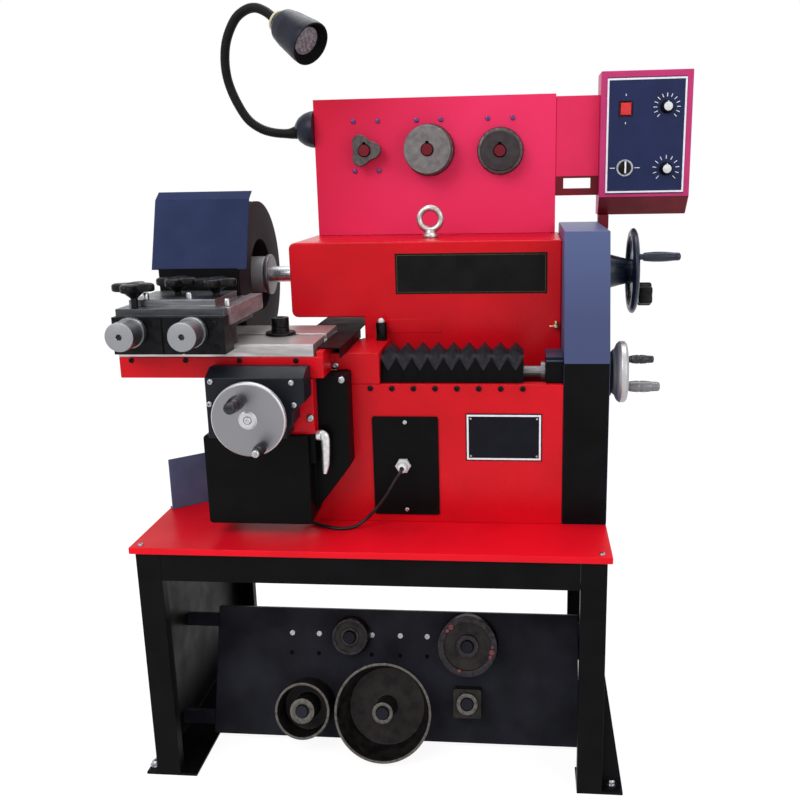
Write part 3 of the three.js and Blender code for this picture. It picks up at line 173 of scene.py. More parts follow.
# The stand: two end panels and two rails folded from 3 mm sheet and powder coated black, under a folded top
# in gloss red enamel. Small zinc screws hold the top at its corners, and anchor bolts stand in the feet.
def edged(node, width, material, segments=3):
    """A copy of a solid whose loose triangles are joined, whose flat faces are made whole and whose
    edges are rounded to the width in millimetres. It rides on the solid's body and stands for it."""
    mesh = frame["nodes"][node].data.copy()
    shape = bmesh.new()
    shape.from_mesh(mesh)
    bmesh.ops.remove_doubles(shape, verts=shape.verts, dist=2e-6)
    bmesh.ops.dissolve_limit(shape, angle_limit=np.radians(0.5), verts=shape.verts, edges=shape.edges)
    shape.to_mesh(mesh)
    shape.free()
    mesh.materials.clear()
    mesh.materials.append(material)
    mesh.polygons.foreach_set("use_smooth", np.ones(len(mesh.polygons), bool))
    mesh.polygons.foreach_set("material_index", np.zeros(len(mesh.polygons), np.int32))
    piece = bpy.data.objects.new("fine_" + node, mesh)
    bpy.context.scene.collection.objects.link(piece)
    edge = piece.modifiers.new("edges", "BEVEL")
    edge.width, edge.segments = width / 1000, segments
    edge.limit_method, edge.angle_limit = "ANGLE", np.radians(32)
    edge.use_clamp_overlap = False
    flats = piece.modifiers.new("flat faces", "WEIGHTED_NORMAL")
    flats.mode, flats.weight, flats.keep_sharp = "FACE_AREA", 50, True
    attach(piece, frame["nodes"][node]["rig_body"])
    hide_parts(node)
    return piece


def skin(grid, closed=True):
    """Quads over a grid of points: rows along, columns round, closed on themselves unless told otherwise."""
    rows, columns = grid.shape[:2]
    index = np.arange(rows * columns).reshape(rows, columns)
    index = np.hstack([index, index[:, :1]]) if closed else index
    quads = np.stack([index[:-1, :-1], index[:-1, 1:], index[1:, 1:], index[1:, :-1]], axis=-1)
    return grid.reshape(-1, 3), quads.reshape(-1, 4)


def turned(axis, centre, rows, sides=48):
    """A turned surface: a row is a radius, or a radius for each side, and a place along the axis. A point is
    the centre plus the radius times the cosine and sine of its angle. Rows of no radius close the ends."""
    angle = np.arange(sides) * 2 * np.pi / sides
    radius = np.array([np.broadcast_to(r, sides) for r, _ in rows])
    along = np.array([[s] for _, s in rows]) + 0 * radius
    across = [centre[0] + radius * np.cos(angle), centre[1] + radius * np.sin(angle)]
    across.insert("xyz".index(axis), along)
    return skin(np.stack(across, axis=-1))


def build(name, skins, body, material, bevel=0.0, crease=38):
    """One piece from its skins, in drawing millimetres: doubled points are merged, faces
    turned outwards and edges under the crease angle smoothed."""
    counts = np.cumsum([0] + [len(points) for points, _ in skins])
    mesh = bpy.data.meshes.new(name)
    mesh.from_pydata(place(np.vstack([points for points, _ in skins])).tolist(), [],
                     np.vstack([quads + start for (_, quads), start in zip(skins, counts)]).tolist())
    shape = bmesh.new()
    shape.from_mesh(mesh)
    bmesh.ops.remove_doubles(shape, verts=shape.verts, dist=1e-6)
    bmesh.ops.dissolve_degenerate(shape, edges=shape.edges, dist=1e-7)
    bmesh.ops.recalc_face_normals(shape, faces=shape.faces)
    shape.to_mesh(mesh)
    shape.free()
    mesh.polygons.foreach_set("use_smooth", np.ones(len(mesh.polygons), bool))
    mesh.set_sharp_from_angle(angle=np.radians(crease))
    mesh.materials.append(material)
    piece = bpy.data.objects.new(name, mesh)
    bpy.context.scene.collection.objects.link(piece)
    if bevel:
        edge = piece.modifiers.new("edges", "BEVEL")
        edge.width, edge.segments, edge.limit_method = bevel / 1000, 2, "ANGLE"
    if body:
        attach(piece, body)
    return piece


def block(low, high):
    """A box between two corners, as four rings of four points: a centre, the two ends and
    the other centre."""
    low, high = np.array(low, float), np.array(high, float)
    unit = np.array([[[0.5, 0.5, 0]] * 4, [[0, 0, 0], [1, 0, 0], [1, 1, 0], [0, 1, 0]],
                     [[0, 0, 1], [1, 0, 1], [1, 1, 1], [0, 1, 1]], [[0.5, 0.5, 1]] * 4])
    return skin(low + unit * (high - low))


def rod(radius, start, end):
    """The profile of a plain round rod with closed ends."""
    return [(0, start), (radius, start), (radius, end), (0, end)]


def bolt_head(axis, centre, face, out, radius, height, socket):
    """A round head with a hexagon socket. The socket's radius is its half width over the
    cosine of the angle from the nearest flat."""
    angle = np.arange(24) * np.pi / 12
    hexagon = socket / np.cos(angle % (np.pi / 3) - np.pi / 6)
    return turned(axis, centre, [(0, face - out * 0.4), (radius, face - out * 0.4),
                                 (radius, face + out * height * 0.55),
                                 (radius * 0.9, face + out * height * 0.85),
                                 (radius * 0.75, face + out * height), (hexagon, face + out * height),
                                 (hexagon, face + out * height * 0.3), (0, face + out * height * 0.3)], 24)


def coat(name, colour, second, pattern, level, gloss, spread=0.05, peel=2.4):
    """A paint on sheet or casting. The level is what is left of its reflection, the gloss
    its roughness and the peel the size of its ripple in millimetres."""
    return shaded(name, colour, second, pattern, gloss, spread, clouds(peel, detail=1.0), 0.03, level=level)


# Powder coat melts to a fine orange peel, a few millimetres from crest to crest, and is satin.
black_powder_coat = coat("black powder coat", "#070708", "#0c0c0e", clouds(60), 0.06, 0.42, 0.07, 2.2)
# Gloss enamel is sprayed thicker: smooth and deep, with a slow ripple.
red_enamel = coat("gloss red enamel", "#cd0c1c", "#bc0a18", clouds(130), 0.16, 0.3, peel=4)
zinc = shaded("bright zinc plate", "#b9bbc0", "#8d9096", clouds(5), 0.3, 0.08, clouds(0.8), 0.01,
              metallic=1.0)
for node, width in (("left_end_panel", 1.2), ("right_end_panel", 1.2), ("front_rail", 1.0),
                    ("rear_rail", 1.0)):
    edged(node, width, black_powder_coat)
# The top lies flat and is painted a lighter red than the same enamel elsewhere: painted light, for the light
# that falls on it from above.
bench_top_painted_light = coat("gloss red enamel, flat", "#e20f22", "#d30c1e", clouds(150), 0.1, 0.38, peel=4)
edged("bench_top", 1.6, bench_top_painted_light)
build("bench_screws", [bolt_head("z", (x, y), 455, 1, 5, 2.6, 2) for x in (-398, 398) for y in (14, 536)],
      "frame", zinc)
anchors = []
for x, y in [(-418, 30), (-418, 515), (425, 34), (425, 515)]:
    anchors += [turned("z", (x, y), rod(11, 4.8, 7), 32),
                bolt_head("z", (x, y), 7, 1, 8, 8, 3.2)]
build("anchor_bolts", anchors, "frame", zinc)

# The storage board: a navy powder-coated sheet that leans between the end panels, on two black
# rails, with five welded pegs. White-headed screws and empty punched holes stand in two rows on it.
lean, board_foot = np.radians(-19.7), (0, 128, 11)


def on_board(points):
    """Turns points drawn along, out of and up the board to drawing millimetres: a turn
    about its lower edge."""
    turn = np.array([[1, 0, 0], [0, np.cos(lean), -np.sin(lean)], [0, np.sin(lean), np.cos(lean)]])
    return np.asarray(points, float) @ turn.T + board_foot


def hung(skins):
    """The same skins, moved from the board's own frame to the machine's."""
    return [(on_board(points), quads) for points, quads in skins]


board_coat = coat("navy powder coat", "#25262f", "#16171d", clouds(90), 0.07, 0.45, 0.06, 2.2)
white_nylon = shaded("white nylon", "#d9dadd", "#c6c8cc", clouds(6), 0.45, 0.05, clouds(1.2), 0.01, ior=1.53)
# Black for painted shade inside holes: the punched holes and the disc's stud holes are thin black discs. It
# also fills the cutter body's seam.
hole_black = shaded("shadowed punched hole", "#050506", "#0a0a0b", clouds(4), 0.8, 0.05, clouds(1), 0.01,
                    level=0.05)
edged("storage_board", 0.9, board_coat)
build("board_screws", hung([bolt_head("y", (u, 198), 0, -1, 5.2, 3, 2) for u in (-187, -133, -28, 28, 81)]),
      "frame", white_nylon)
# Painted shade: each punched hole is a thin black disc for the dark inside of the hole.
build("board_holes", hung([turned("y", (u, 160), rod(4.2, 0.2, -0.15), 24)
                           for u in (-187, -133, -28, 28, 81)]), "frame", hole_black)


# The adapters on the storage board: cast-iron cups and discs, turned all over and left with a thin
# film of oil. Each has a bored hub that slips over its peg, and each rim is a bright machined edge.
def soften(profile, radius, steps=4):
    """Rounds a profile's corners: each becomes a parabola from a point before the corner to one after it."""
    points = np.asarray(profile, float)
    corner, back, on = points[1:-1], points[:-2] - points[1:-1], points[2:] - points[1:-1]
    start, end = (corner + way * (np.minimum(radius, np.linalg.norm(way, axis=1) * 0.45)
                                  / np.linalg.norm(way, axis=1))[:, None] for way in (back, on))
    t = np.linspace(0, 1, steps + 1)[:, None, None]
    arcs = (1 - t) ** 2 * start + 2 * t * (1 - t) * corner + t ** 2 * end
    return np.vstack([points[:1], arcs.transpose(1, 0, 2).reshape(-1, 2), points[-1:]])


def rings(axis, centre, pitch):
    """Tool marks round an axis: a wave of the distance from it, this many millimetres from
    crest to crest. At a scale of one the node's own crests are 2 pi / 20 metres apart."""
    def make(material):
        where = wire(material, "TexCoord", {}).outputs["Object"]
        centred = wire(material, "Mapping", {"Vector": where, "Location": tuple(-place(centre))}).outputs[0]
        return wire(material, "TexWave", {"Vector": centred, "Scale": 2 * np.pi / 20 * 1000 / pitch,
                                          "Distortion": 0.6, "Detail": 1.0}, wave_type="RINGS",
                    rings_direction=axis).outputs[1]
    return make


oiled_iron = shaded("turned cast iron, oiled", "#1e1c1c", "#312e2d", clouds(18), 0.5, 0.1, clouds(1.2), 0.05,
                    metallic=0.7, level=0.2)
bare_rim = shaded("machined iron rim", "#66625e", "#4c4845", clouds(7), 0.42, 0.08, clouds(0.9), 0.02,
                  metallic=1.0)
dull_rim = shaded("machined iron rim, oiled", "#39363a", "#2a2729", clouds(7), 0.45, 0.08, clouds(0.9), 0.02,
                  metallic=1.0)
red_marker = shaded("red marking paint", "#8e2a33", "#5c2027", clouds(5), 0.5, 0.08, clouds(1.5), 0.05)
bore = 12.7
cups = {"drum_cup_large": (6, 66, 92, 76, 5.5, 70, 20, 9),
        "drum_cup_small": (-149, 62, 53, 51, 5.5, 62, 24, 9),
        "centring_disc_small": (-68, 196, 35, 38, 6, 24, 18, 22),
        "centring_disc_large": (161, 186, 57, 59, 12, 32, 22, 27)}
for name, (u, w, outer, back, rim, depth, hub, base) in cups.items():
    floor_radius = back + (outer - back) * base / depth - rim
    cup = soften([(bore, -depth), (hub, -depth), (hub, -base), (floor_radius, -base), (outer - rim, -depth),
                  (outer, -depth), (back + (outer - back) * 0.45, -depth * 0.45), (back, -0.4), (bore, -0.4),
                  (bore, -depth)], 1.6)
    piece = build("fine_" + name, hung([turned("y", (u, w), cup, 72)]), "frame", oiled_iron)
    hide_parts(name)
    inside, outside, sunk, proud = outer - rim + 0.6, outer - 0.6, -depth + 0.3, -depth - 0.25
    bright = soften([(inside, sunk), (inside, proud), (outside, proud), (outside, sunk), (inside, sunk)],
                    0.2, 2)
    lip = soften([(13, sunk), (13, proud), (hub - 0.6, proud), (hub - 0.6, sunk), (13, sunk)], 0.2, 2)
    build(name + "_rim", hung([turned("y", (u, w), bright, 72), turned("y", (u, w), lip, 48)]), "frame",
          bare_rim if "cup" in name else dull_rim)
mark_places = ((2.3, 5), (2.5, 3.6), (-0.2, 5), (-0.4, 3.4), (0.0, 3), (4.4, 3))
disc_u, disc_w, mark_circle = 161, 186, 48
marks = [turned("y", (disc_u + mark_circle * np.cos(a), disc_w + mark_circle * np.sin(a)),
                [(0, -32.1), (size, -32.1), (size * 0.8, -32.5), (0, -32.5)], 14) for a, size in mark_places]
build("disc_marks", hung(marks), "frame", red_marker)
edged("square_spacer", 1.2, oiled_iron)
sleeve = soften([(bore, -32.4), (20, -32.4), (20, -36.5), (bore, -36.5), (bore, -32.4)], 0.8)
build("spacer_sleeve", hung([turned("y", (162, 80), sleeve)]), "frame", bare_rim)

# The bed: one hollow red casting with dovetail ways along its top, fettled and enamelled. Gib
# screws sit in a row under the way, a bare navy plate with a white edge is riveted to its front.
edged("bed", 2.2, red_enamel)
black_oxide = shaded("black oxide steel", "#131314", "#222223", clouds(4), 0.42, 0.08, clouds(0.8), 0.01,
                     metallic=0.9)
build("gib_screws", [bolt_head("y", (x, 706), 146, -1, 5, 3.5, 2.2) for x in np.linspace(-5, 265, 8)],
      "frame", black_oxide)
plate_navy = shaded("navy printed plate", "#10111c", "#0c0d15", clouds(30), 0.35, 0.04, clouds(3), 0.01,
                    level=0.1)
white_ink = shaded("white printing ink", "#e4e4ea", "#d8d9e0", clouds(8), 0.5, 0.04, clouds(1), 0.01)


def border(x0, x1, z0, z1, y, width, proud):
    """Four bars round a rectangle on a front face."""
    return [block((x0, y - proud, z0), (x1, y + 0.2, z0 + width)),
            block((x0, y - proud, z1 - width), (x1, y + 0.2, z1)),
            block((x0, y - proud, z0 + width), (x0 + width, y + 0.2, z1 - width)),
            block((x1 - width, y - proud, z0 + width), (x1, y + 0.2, z1 - width))]


build("bed_plate", [block((164, 144.6, 574), (299, 146.3, 661))], "frame", plate_navy,
      bevel=0.4)
build("bed_plate_edge", border(166, 297, 576, 659, 144.6, 3.2, 0.35), "frame", white_ink)
build("plate_rivets", [turned("y", (x, z), [(0, 144.5), (2.2, 144.5), (1.8, 143.4), (0, 143)], 16)
                       for x in (173, 290) for z in (583, 652)], "frame", zinc)

# The access cover: a black powder-coated sheet over the hatch, held by two screws, with the white nylon
# cable gland through it. The gland is a moulded hexagon nut with a slotted dome that grips the lead.
edged("access_cover", 0.8, black_powder_coat)
build("cover_screws", [bolt_head("y", (55.5, z), 142.7, -1, 4.2, 2.4, 1.8) for z in (480, 645)], "frame",
      zinc)
turn = np.arange(48) * np.pi / 24
hexagon_nut = 12.2 / np.cos(turn % (np.pi / 3) - np.pi / 6)
slotted = 10 * (1 - 0.06 * (np.cos(turn * 8) > 0.6))
gland_rows = [(4.2, 150), (7, 150), (7, 142.4), (hexagon_nut * 0.93, 142.4), (hexagon_nut, 141),
              (hexagon_nut, 134.2), (hexagon_nut * 0.93, 132.7), (10, 132.7), (slotted, 131.5),
              (slotted * 0.93, 124), (7.6, 119.6), (6.4, 118.7), (4.2, 118.7), (4.2, 150)]
gland = build("nylon_gland", [turned("y", (51, 565), gland_rows, 48)], "frame", white_nylon)
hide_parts("cable_gland")


# The drive inside the bed: a black motor, a cast pulley and a flat rubber belt up to the spindle's pulley.
# They show only through the openings, so the solids stay and get their finishes.
def turned_metal(name, colour, second, axis, centre, pitch, metallic, gloss, depth=0.03, spread=0.05):
    """Bare metal whose tool marks round an axis colour it and stand up by the depth in millimetres."""
    return shaded(name, colour, second, rings(axis, centre, pitch), gloss, spread,
                  rings(axis, centre, pitch), depth, metallic=metallic)


cast_pulley = turned_metal("cast pulley, turned", "#55524e", "#6d6a65", "X", (365, 400, 560), 1.4, 1.0, 0.45,
                           0.05, 0.06)
belt_rubber = shaded("woven belt rubber", "#171718", "#242425", clouds(3), 0.75, 0.08, clouds(1.6), 0.2,
                     level=0.2, ior=1.52)
for node, material in {"drive_motor": black_powder_coat, "motor_pulley": cast_pulley,
                       "drive_belt": belt_rubber}.items():
    for held in frame["nodes"][node].material_slots:
        held.material = material

# The headstock: a red enamelled hood over the back of the bed, with bosses inside for the
# spindle's bearings. A bare black band with a thin dull gold edge lies along its front,
# and a small brass oil cock stands at its right.
edged("headstock", 3.2, red_enamel)
band_black = shaded("black printed band", "#08080a", "#101012", clouds(40), 0.3, 0.04, clouds(3), 0.01,
                    level=0.1)
gold_ink = shaded("gold printing ink", "#5f5228", "#4c4120", clouds(8), 0.4, 0.05, clouds(1), 0.01,
                  level=0.2)
brass = shaded("turned brass", "#ecd7ae", "#d0b37c", clouds(4), 0.3, 0.06, clouds(0.7), 0.01, metallic=0.9)
build("front_band", [block((24, 297.3, 854), (309, 298.4, 930))], "frame", band_black,
      bevel=0.3)
build("front_band_edge", border(27, 306, 857, 927, 297.3, 0.7, 0.2), "frame", gold_ink)
build("bare_plate", [block((6, 297.0, 780), (110, 298.4, 806.4))], "frame", red_enamel,
      bevel=0.5)
cock_body = soften([(0, 299), (4.4, 299), (4.4, 292), (3, 292), (3, 284), (0, 284)], 0.8)
cock_key = soften([(0, 314), (2.2, 314), (1.8, 322), (2.2, 329), (0, 329)], 0.6)
cock_cap = soften(rod(3.2, 796, 803), 0.7)
build("oil_cock", [turned("y", (326, 793), cock_body, 24), turned("x", (288, 793), cock_key, 20),
                   turned("z", (326, 288), cock_cap, 20)], "frame", brass)

# The lifting eye: a forged steel ring on a round collar, screwed into the top of the headstock.
forged = shaded("forged steel, zinc plated", "#c6bfbe", "#a29c9b", clouds(8), 0.38, 0.08, clouds(1.5), 0.05,
                metallic=1.0)
angle, small = np.meshgrid(np.arange(64) * np.pi / 32, np.arange(24) * np.pi / 12, indexing="ij")
swell = 6.2 * (1 + 0.1 * np.maximum(0, -np.sin(angle)))
eye_centre, reach = np.array([82, 400, 988.3]), 21 + swell * np.cos(small)
eye_ring = eye_centre + np.stack([reach * np.cos(angle), swell * np.sin(small), reach * np.sin(angle)],
                                 axis=-1)
eye_foot = soften([(0, 952.3), (15, 952.3), (15, 958), (11, 962), (9, 968), (0, 968)], 1.5)
eye = build("forged_eye", [skin(np.concatenate([eye_ring, eye_ring[:1]])),
                           turned("z", eye_centre[:2], eye_foot)], "frame", forged)
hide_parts("lifting_eye")


# The spindle: ground steel with a flanged hub, a hexagon nut on its threaded nose and the
# driven pulley at its other end. The hub and nut clamp the brake disc.
spindle_axis = (400, 883)


def on_spindle(name, rows, material, sides=64):
    """A piece turned round the spindle's own axis, whose y and z are those of the spindle."""
    return build(name, [turned("x", spindle_axis, row, sides) for row in rows], "spindle_unit", material)


ground_shaft = shaded("ground steel", "#d6d8de", "#bbbdc4", clouds(3, (0.2, 8, 8)), 0.26, 0.05,
                      clouds(0.8, (0.3, 6, 6)), 0.004, metallic=0.9)
hub_steel = turned_metal("turned steel", "#a3a2a7", "#89888c", "X", (0, *spindle_axis), 1.2, 0.5, 0.42)
collar_steel = turned_metal("turned steel, dark", "#858387", "#69686b", "X", (0, *spindle_axis), 1.2, 0.8,
                            0.4)
flats = 24.5 / np.cos(np.arange(64) * np.pi / 32 % (np.pi / 3) - np.pi / 6)
thread = [(18 - 1.1 * (i % 2), s) for i, s in enumerate(np.linspace(-361, -349.5, 24))]
shaft_rows = [(0, -361.3), (16.5, -361.3)] + thread + [(18, -349.3), (18, -331.3), (16, -331.3), (16, -258),
        (35, -251.8), (35, -250.2), (16, -241), (16, -184), (20.2, -184), (21, -183), (21, 335.7),
        (16, 335.7), (16, 350), (81, 350), (82, 351), (82, 354), (76, 354), (76, 376), (82, 376), (82, 379),
        (81, 380), (16, 380), (16, 481), (15, 482), (0, 482)]
spindle = on_spindle("spindle_shaft", [shaft_rows], ground_shaft)
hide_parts("spindle")
on_spindle("spindle_hub", [soften([(15, -322.7), (36, -322.7), (36, -251.6), (15, -251.6)], 1.2)], hub_steel)
collar_rows = soften([(15, -250.4), (36.5, -250.4), (40, -248.6), (40, -242.4), (38.4, -241), (15, -241)],
                     0.9)
on_spindle("hub_collar", [collar_rows], collar_steel)
nut_rows = [(17, -331.4), (flats * 0.94, -331.4), (flats, -333), (flats, -347.7), (flats * 0.94, -349.3),
            (17, -349.3)]
on_spindle("spindle_nut", [nut_rows], hub_steel)

# The brake disc: grey cast iron, browned by storage, with a cooling gap between its two
# friction faces that short vanes bridge. Its hat carries a ring of stud holes.
brake_iron = shaded("cast iron, browned", "#2b2025", "#1d1519", rings("X", (0, *spindle_axis), 3), 0.6, 0.08,
                    rings("X", (0, *spindle_axis), 1.6), 0.05, level=0.05)
disc_rows = soften([(30, -331), (74, -331), (78, -327), (78, -286), (145, -286), (145, -278.5),
                    (128, -278.5), (128, -271.5), (145, -271.5), (145, -264), (71, -264), (71, -323),
                    (30, -323), (30, -331)], 1.0, 3)
disc = on_spindle("vented_disc", [disc_rows], brake_iron, sides=96)
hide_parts("brake_disc")
vane, vane_quads = block((-279, 118, -1.6), (-271, 141, 1.6))
cosine, sine = np.cos(np.arange(36) * np.pi / 18)[:, None], np.sin(np.arange(36) * np.pi / 18)[:, None]
spun = np.stack([vane[:, 0] + 0 * cosine, spindle_axis[0] + vane[:, 1] * cosine - vane[:, 2] * sine,
                 spindle_axis[1] + vane[:, 1] * sine + vane[:, 2] * cosine], axis=-1)
build("disc_vanes", [(points, vane_quads) for points in spun], "spindle_unit", brake_iron)
# Painted shade: each stud hole is a thin black disc on the hat.
stud_circle = 54
build("stud_holes", [turned("x", spindle_axis + stud_circle * np.array([np.cos(a), np.sin(a)]),
                            rod(6.2, -330.8, -331.25), 24)
                     for a in np.arange(5) * 2 * np.pi / 5], "spindle_unit", hole_black)


# The spindle's handwheel: moulded black phenolic with a dished hub, a polished rim and a
# turned crank handle, and a five-lobed lock knob beside it.
def grip(axis, centre, start, out, radius, length, grooves=True):
    """A turned handle on its pin: the neck, a belly whose radius follows a sine, grooves and a domed end."""
    share = np.linspace(0.12, 0.93, 26)
    belly = radius * (0.8 + 0.2 * np.sin(np.pi * np.clip((share - 0.1) / 0.75, 0, 1)))
    in_groove = np.abs((share * 26.26) % 8 - 4) < 0.6
    grooved = belly - 0.7 * in_groove * grooves
    rows = [(0, 0), (5.6, 0), (5.6, 0.12)] + list(zip(grooved, share)) + [
        (radius * 0.72, 0.97), (radius * 0.5, 0.992), (radius * 0.28, 1), (radius * 0.24, 0.985), (0, 0.985)]
    return turned(axis, centre, [(r, start + out * s * length) for r, s in rows], 32)


def star(shape, radius, base, rows):
    """Rows of a lobed moulding: the shape's share of the radius, less each row's step in,
    at each row's place above the base."""
    return [(np.maximum(shape * radius - step, 0), base + place) for step, place in rows]


phenolic = shaded("moulded black phenolic", "#08080a", "#0f0f11", clouds(9), 0.34, 0.06, clouds(1.8), 0.01,
                  level=0.12, ior=1.6)
wheel_phenolic = shaded("moulded navy-black phenolic", "#0c1526", "#132036", clouds(20), 0.3, 0.06,
                        clouds(2.4), 0.01, level=0.3, ior=1.6)
wheel_rows = soften([(16.3, 419), (33, 419), (35, 421), (31, 438), (23.5, 466), (23.5, 474), (60, 476.5),
                     (67, 474), (67, 469.5), (76, 469), (82, 473.5), (82, 478), (76, 482), (67, 481.5),
                     (66, 479.5), (23, 479.5), (22, 482), (16.3, 482), (16.3, 419)], 1.8)
crank = grip("x", (344, 915), 480, 1, 9.5, 78, grooves=False)
rim_wheel = build("rim_wheel", [turned("x", spindle_axis, wheel_rows, 96), crank], "spindle_unit",
                  wheel_phenolic)
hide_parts("spindle_handwheel")
lobes = 1 - 0.14 + 0.14 * np.cos(5 * np.arange(80) * np.pi / 40)
lock_axis = (424, 834)
lock_steps = ((3.2, 0), (1.2, 0.6), (0, 2.5), (0, 22.5), (1.2, 24.8), (3.4, 26))
lock_rows = [(0, 491)] + star(lobes, 24, 491, lock_steps) + [(9, 517), (8, 516.2), (0, 516.2)]
lock = build("lobed_lock_knob", [turned("x", lock_axis, rod(6, 479.8, 493.5), 24),
                                 turned("x", lock_axis, lock_rows, 80)], "lock_knob", phenolic)
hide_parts("wheel_lock_knob")


# The belt guard: a folded and welded grey-blue sheet hood, open below, whose upper front
# leans back. Painted light: the coat is lighter towards the top, where the upper front catches
# the light, and the lower front faces take the black coat as painted shade.
def drift(start, end):
    """A steady change of colour from one place to another, both in drawing millimetres:
    the share of the way is the place's dot product with the way between them."""
    def make(material):
        way = (np.array(end, float) - start) / 1000
        where = wire(material, "TexCoord", {}).outputs["Object"]
        apart = wire(material, "VectorMath", {0: where, 1: tuple(place(start))}, operation="SUBTRACT")
        along = wire(material, "VectorMath", {0: apart.outputs[0], 1: tuple(way / (way @ way))},
                     operation="DOT_PRODUCT")
        return wire(material, "MapRange", {"Value": along.outputs["Value"], "To Min": noise_low,
                                           "To Max": noise_high}).outputs[0]
    return make


# Painted light: the coat runs from the lighter grey-blue at the top to the darker grey-blue lower down.
guard_painted_light = coat("grey-blue powder coat", "#525d83", "#454d70", drift((375, 145, 960), (375, 145, 820)),
                  0.08, 0.4)
guard = edged("belt_guard", 1.8, guard_painted_light)


def also(piece, material, where):
    """Gives a second finish to the faces for which the test holds, by their centres in
    drawing millimetres and their normals."""
    count = len(piece.data.polygons)
    centre, normal = np.empty(count * 3), np.empty(count * 3)
    piece.data.polygons.foreach_get("center", centre)
    piece.data.polygons.foreach_get("normal", normal)
    x, y, z = ((centre.reshape(-1, 3) - place([0, 0, 0])) * 1000).T
    piece.data.materials.append(material)
    index = np.zeros(count, np.int32)
    piece.data.polygons.foreach_get("material_index", index)
    index[where(x, y, z, *normal.reshape(-1, 3).T)] = len(piece.data.materials) - 1
    piece.data.polygons.foreach_set("material_index", index)


# Painted shade: the guard's lower front faces take the black powder coat.
also(guard, black_powder_coat, lambda x, y, z, nx, ny, nz: (ny < -0.9) & (y < 147) & (z < 760))

# The feed screw: a ground rod in a black bearing block, with a collar and an aluminium
# handwheel at its end. The wheel is turned from the solid and carries two crank handles.
slate_painted_light = coat("slate powder coat", "#353c55", "#2c3247", clouds(40), 0.16, 0.4)
bearing = edged("screw_bearing", 1.2, black_powder_coat)
# Painted light: the bearing's top faces and the upper part of its front take the lighter slate coat over the
# black.
also(bearing, slate_painted_light, lambda x, y, z, nx, ny, nz: (nz > 0.9) | ((z > 742) & (ny < -0.9)))
grip_grey = shaded("grey plated steel", "#434346", "#2d2d30", clouds(6), 0.35, 0.07, clouds(1.2), 0.01,
                   metallic=0.9)
for held in frame["nodes"]["feed_screw"].material_slots:
    held.material = collar_steel
feed_axis = (202, 725)
feed_aluminium = turned_metal("turned aluminium", "#b6b4b6", "#9f9da0", "X", (0, *feed_axis), 1.1, 0.7, 0.42)
feed_rows = soften([(11.4, 422), (38, 422), (42, 427), (51, 431), (55, 436), (55, 444), (51, 448), (46, 448),
                    (44, 447), (19, 447), (17, 448), (17, 450), (11.4, 450), (11.4, 422)], 1.2)
feed_wheel = build("turned_feed_wheel", [turned("x", feed_axis, feed_rows, 96)], "feed_screw_unit",
                   feed_aluminium)
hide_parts("feed_handwheel")
flange_rows = soften([(21, 415.2), (40, 415.2), (40, 420.4), (21, 420.4), (21, 415.2)], 0.8)
build("screw_flange", [turned("x", (202, 722), flange_rows, 64)], "frame", black_powder_coat)
build("feed_grip_small", [grip("x", (180, 752), 446, 1, 8, 47)], "feed_screw_unit", grip_grey)
# Painted light: the lower grip takes the lighter turned steel, where its top catches the light, and its twin
# above keeps the grey plate.
build("feed_grip_large", [grip("x", (228, 692), 446, 1, 10.8, 66)], "feed_screw_unit", collar_steel)


# The bellows: rubberised black cloth sewn into nine pleats over the feed screw, open below. On the machine
# one end is fixed to the saddle and the other to the screw's bearing, and it stretches as the carriage
# moves;
# here it is built in place and rides on no body.
fold_points, pleat_steps = 41, 12


def pleats(left, right, count):
    """The pleated tunnel. Across it two outlines, of a crest and of a valley, are sampled at the
    same shares of their sides. Along it the point moves from one to the other and back by a
    triangle wave, so that each crest leaves two sloped facets. The cloth is about 1.5 mm thick."""
    crest = np.array([[156.4, 714.5], [156.4, 736], [179, 776.2], [225, 776.2], [247.6, 736],
                      [247.6, 714.5]])
    valley = np.array([[157, 714.5], [163, 757], [186, 762.5], [218, 762.5], [241, 757], [247, 714.5]])
    side, knots = np.linspace(0, 1, fold_points), np.array([0, 0.15, 0.38, 0.62, 0.85, 1])
    part = np.clip(np.searchsorted(knots, side, side="right") - 1, 0, 4)
    share = ((side - knots[part]) / (knots[part + 1] - knots[part]))[:, None]
    crest, valley = (line[part] * (1 - share) + line[part + 1] * share for line in (crest, valley))
    along = np.linspace(0, count, count * pleat_steps + 1)
    wave = (1 - np.abs((along % 1) - 0.5) * 2)[:, None, None]
    outline = valley * (1 - wave) + crest * wave
    x = (left + (right - left) * along / count)[:, None, None] + 0 * outline[..., :1]
    outer = np.concatenate([x, outline], axis=-1)
    shrunk = np.array([1, 0.965, 0.975])
    inner = outer * shrunk + (1 - shrunk) * (0, 202, 714.5)
    return np.concatenate([outer, inner[:, ::-1]], axis=1)


tunnel = pleats(12.3, 266, 9)
bellows_cloth = shaded("rubberised cloth", "#141317", "#232127", clouds(7), 0.5, 0.08,
                       clouds(1.4, detail=2.0), 0.06, level=0.1, ior=1.52)
ends = [skin(np.stack([row[:fold_points], row[:fold_points - 1:-1]]), closed=False)
        for row in (tunnel[0], tunnel[-1])]
bellows = build("pleated_bellows", [skin(tunnel)] + ends, None, bellows_cloth, crease=14)
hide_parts("screw_bellows")
bellows_painted_shade = shaded("rubberised cloth, in its own shade", "#060607", "#0b0b0c", clouds(10), 0.6, 0.08,
                       clouds(1.4, detail=2.0), 0.06, level=0.05, ior=1.52)
# Painted shade: the pleats' steep and downward faces take the darker cloth.
also(bellows, bellows_painted_shade, lambda x, y, z, nx, ny, nz: nz < 0.25)
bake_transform(bellows)

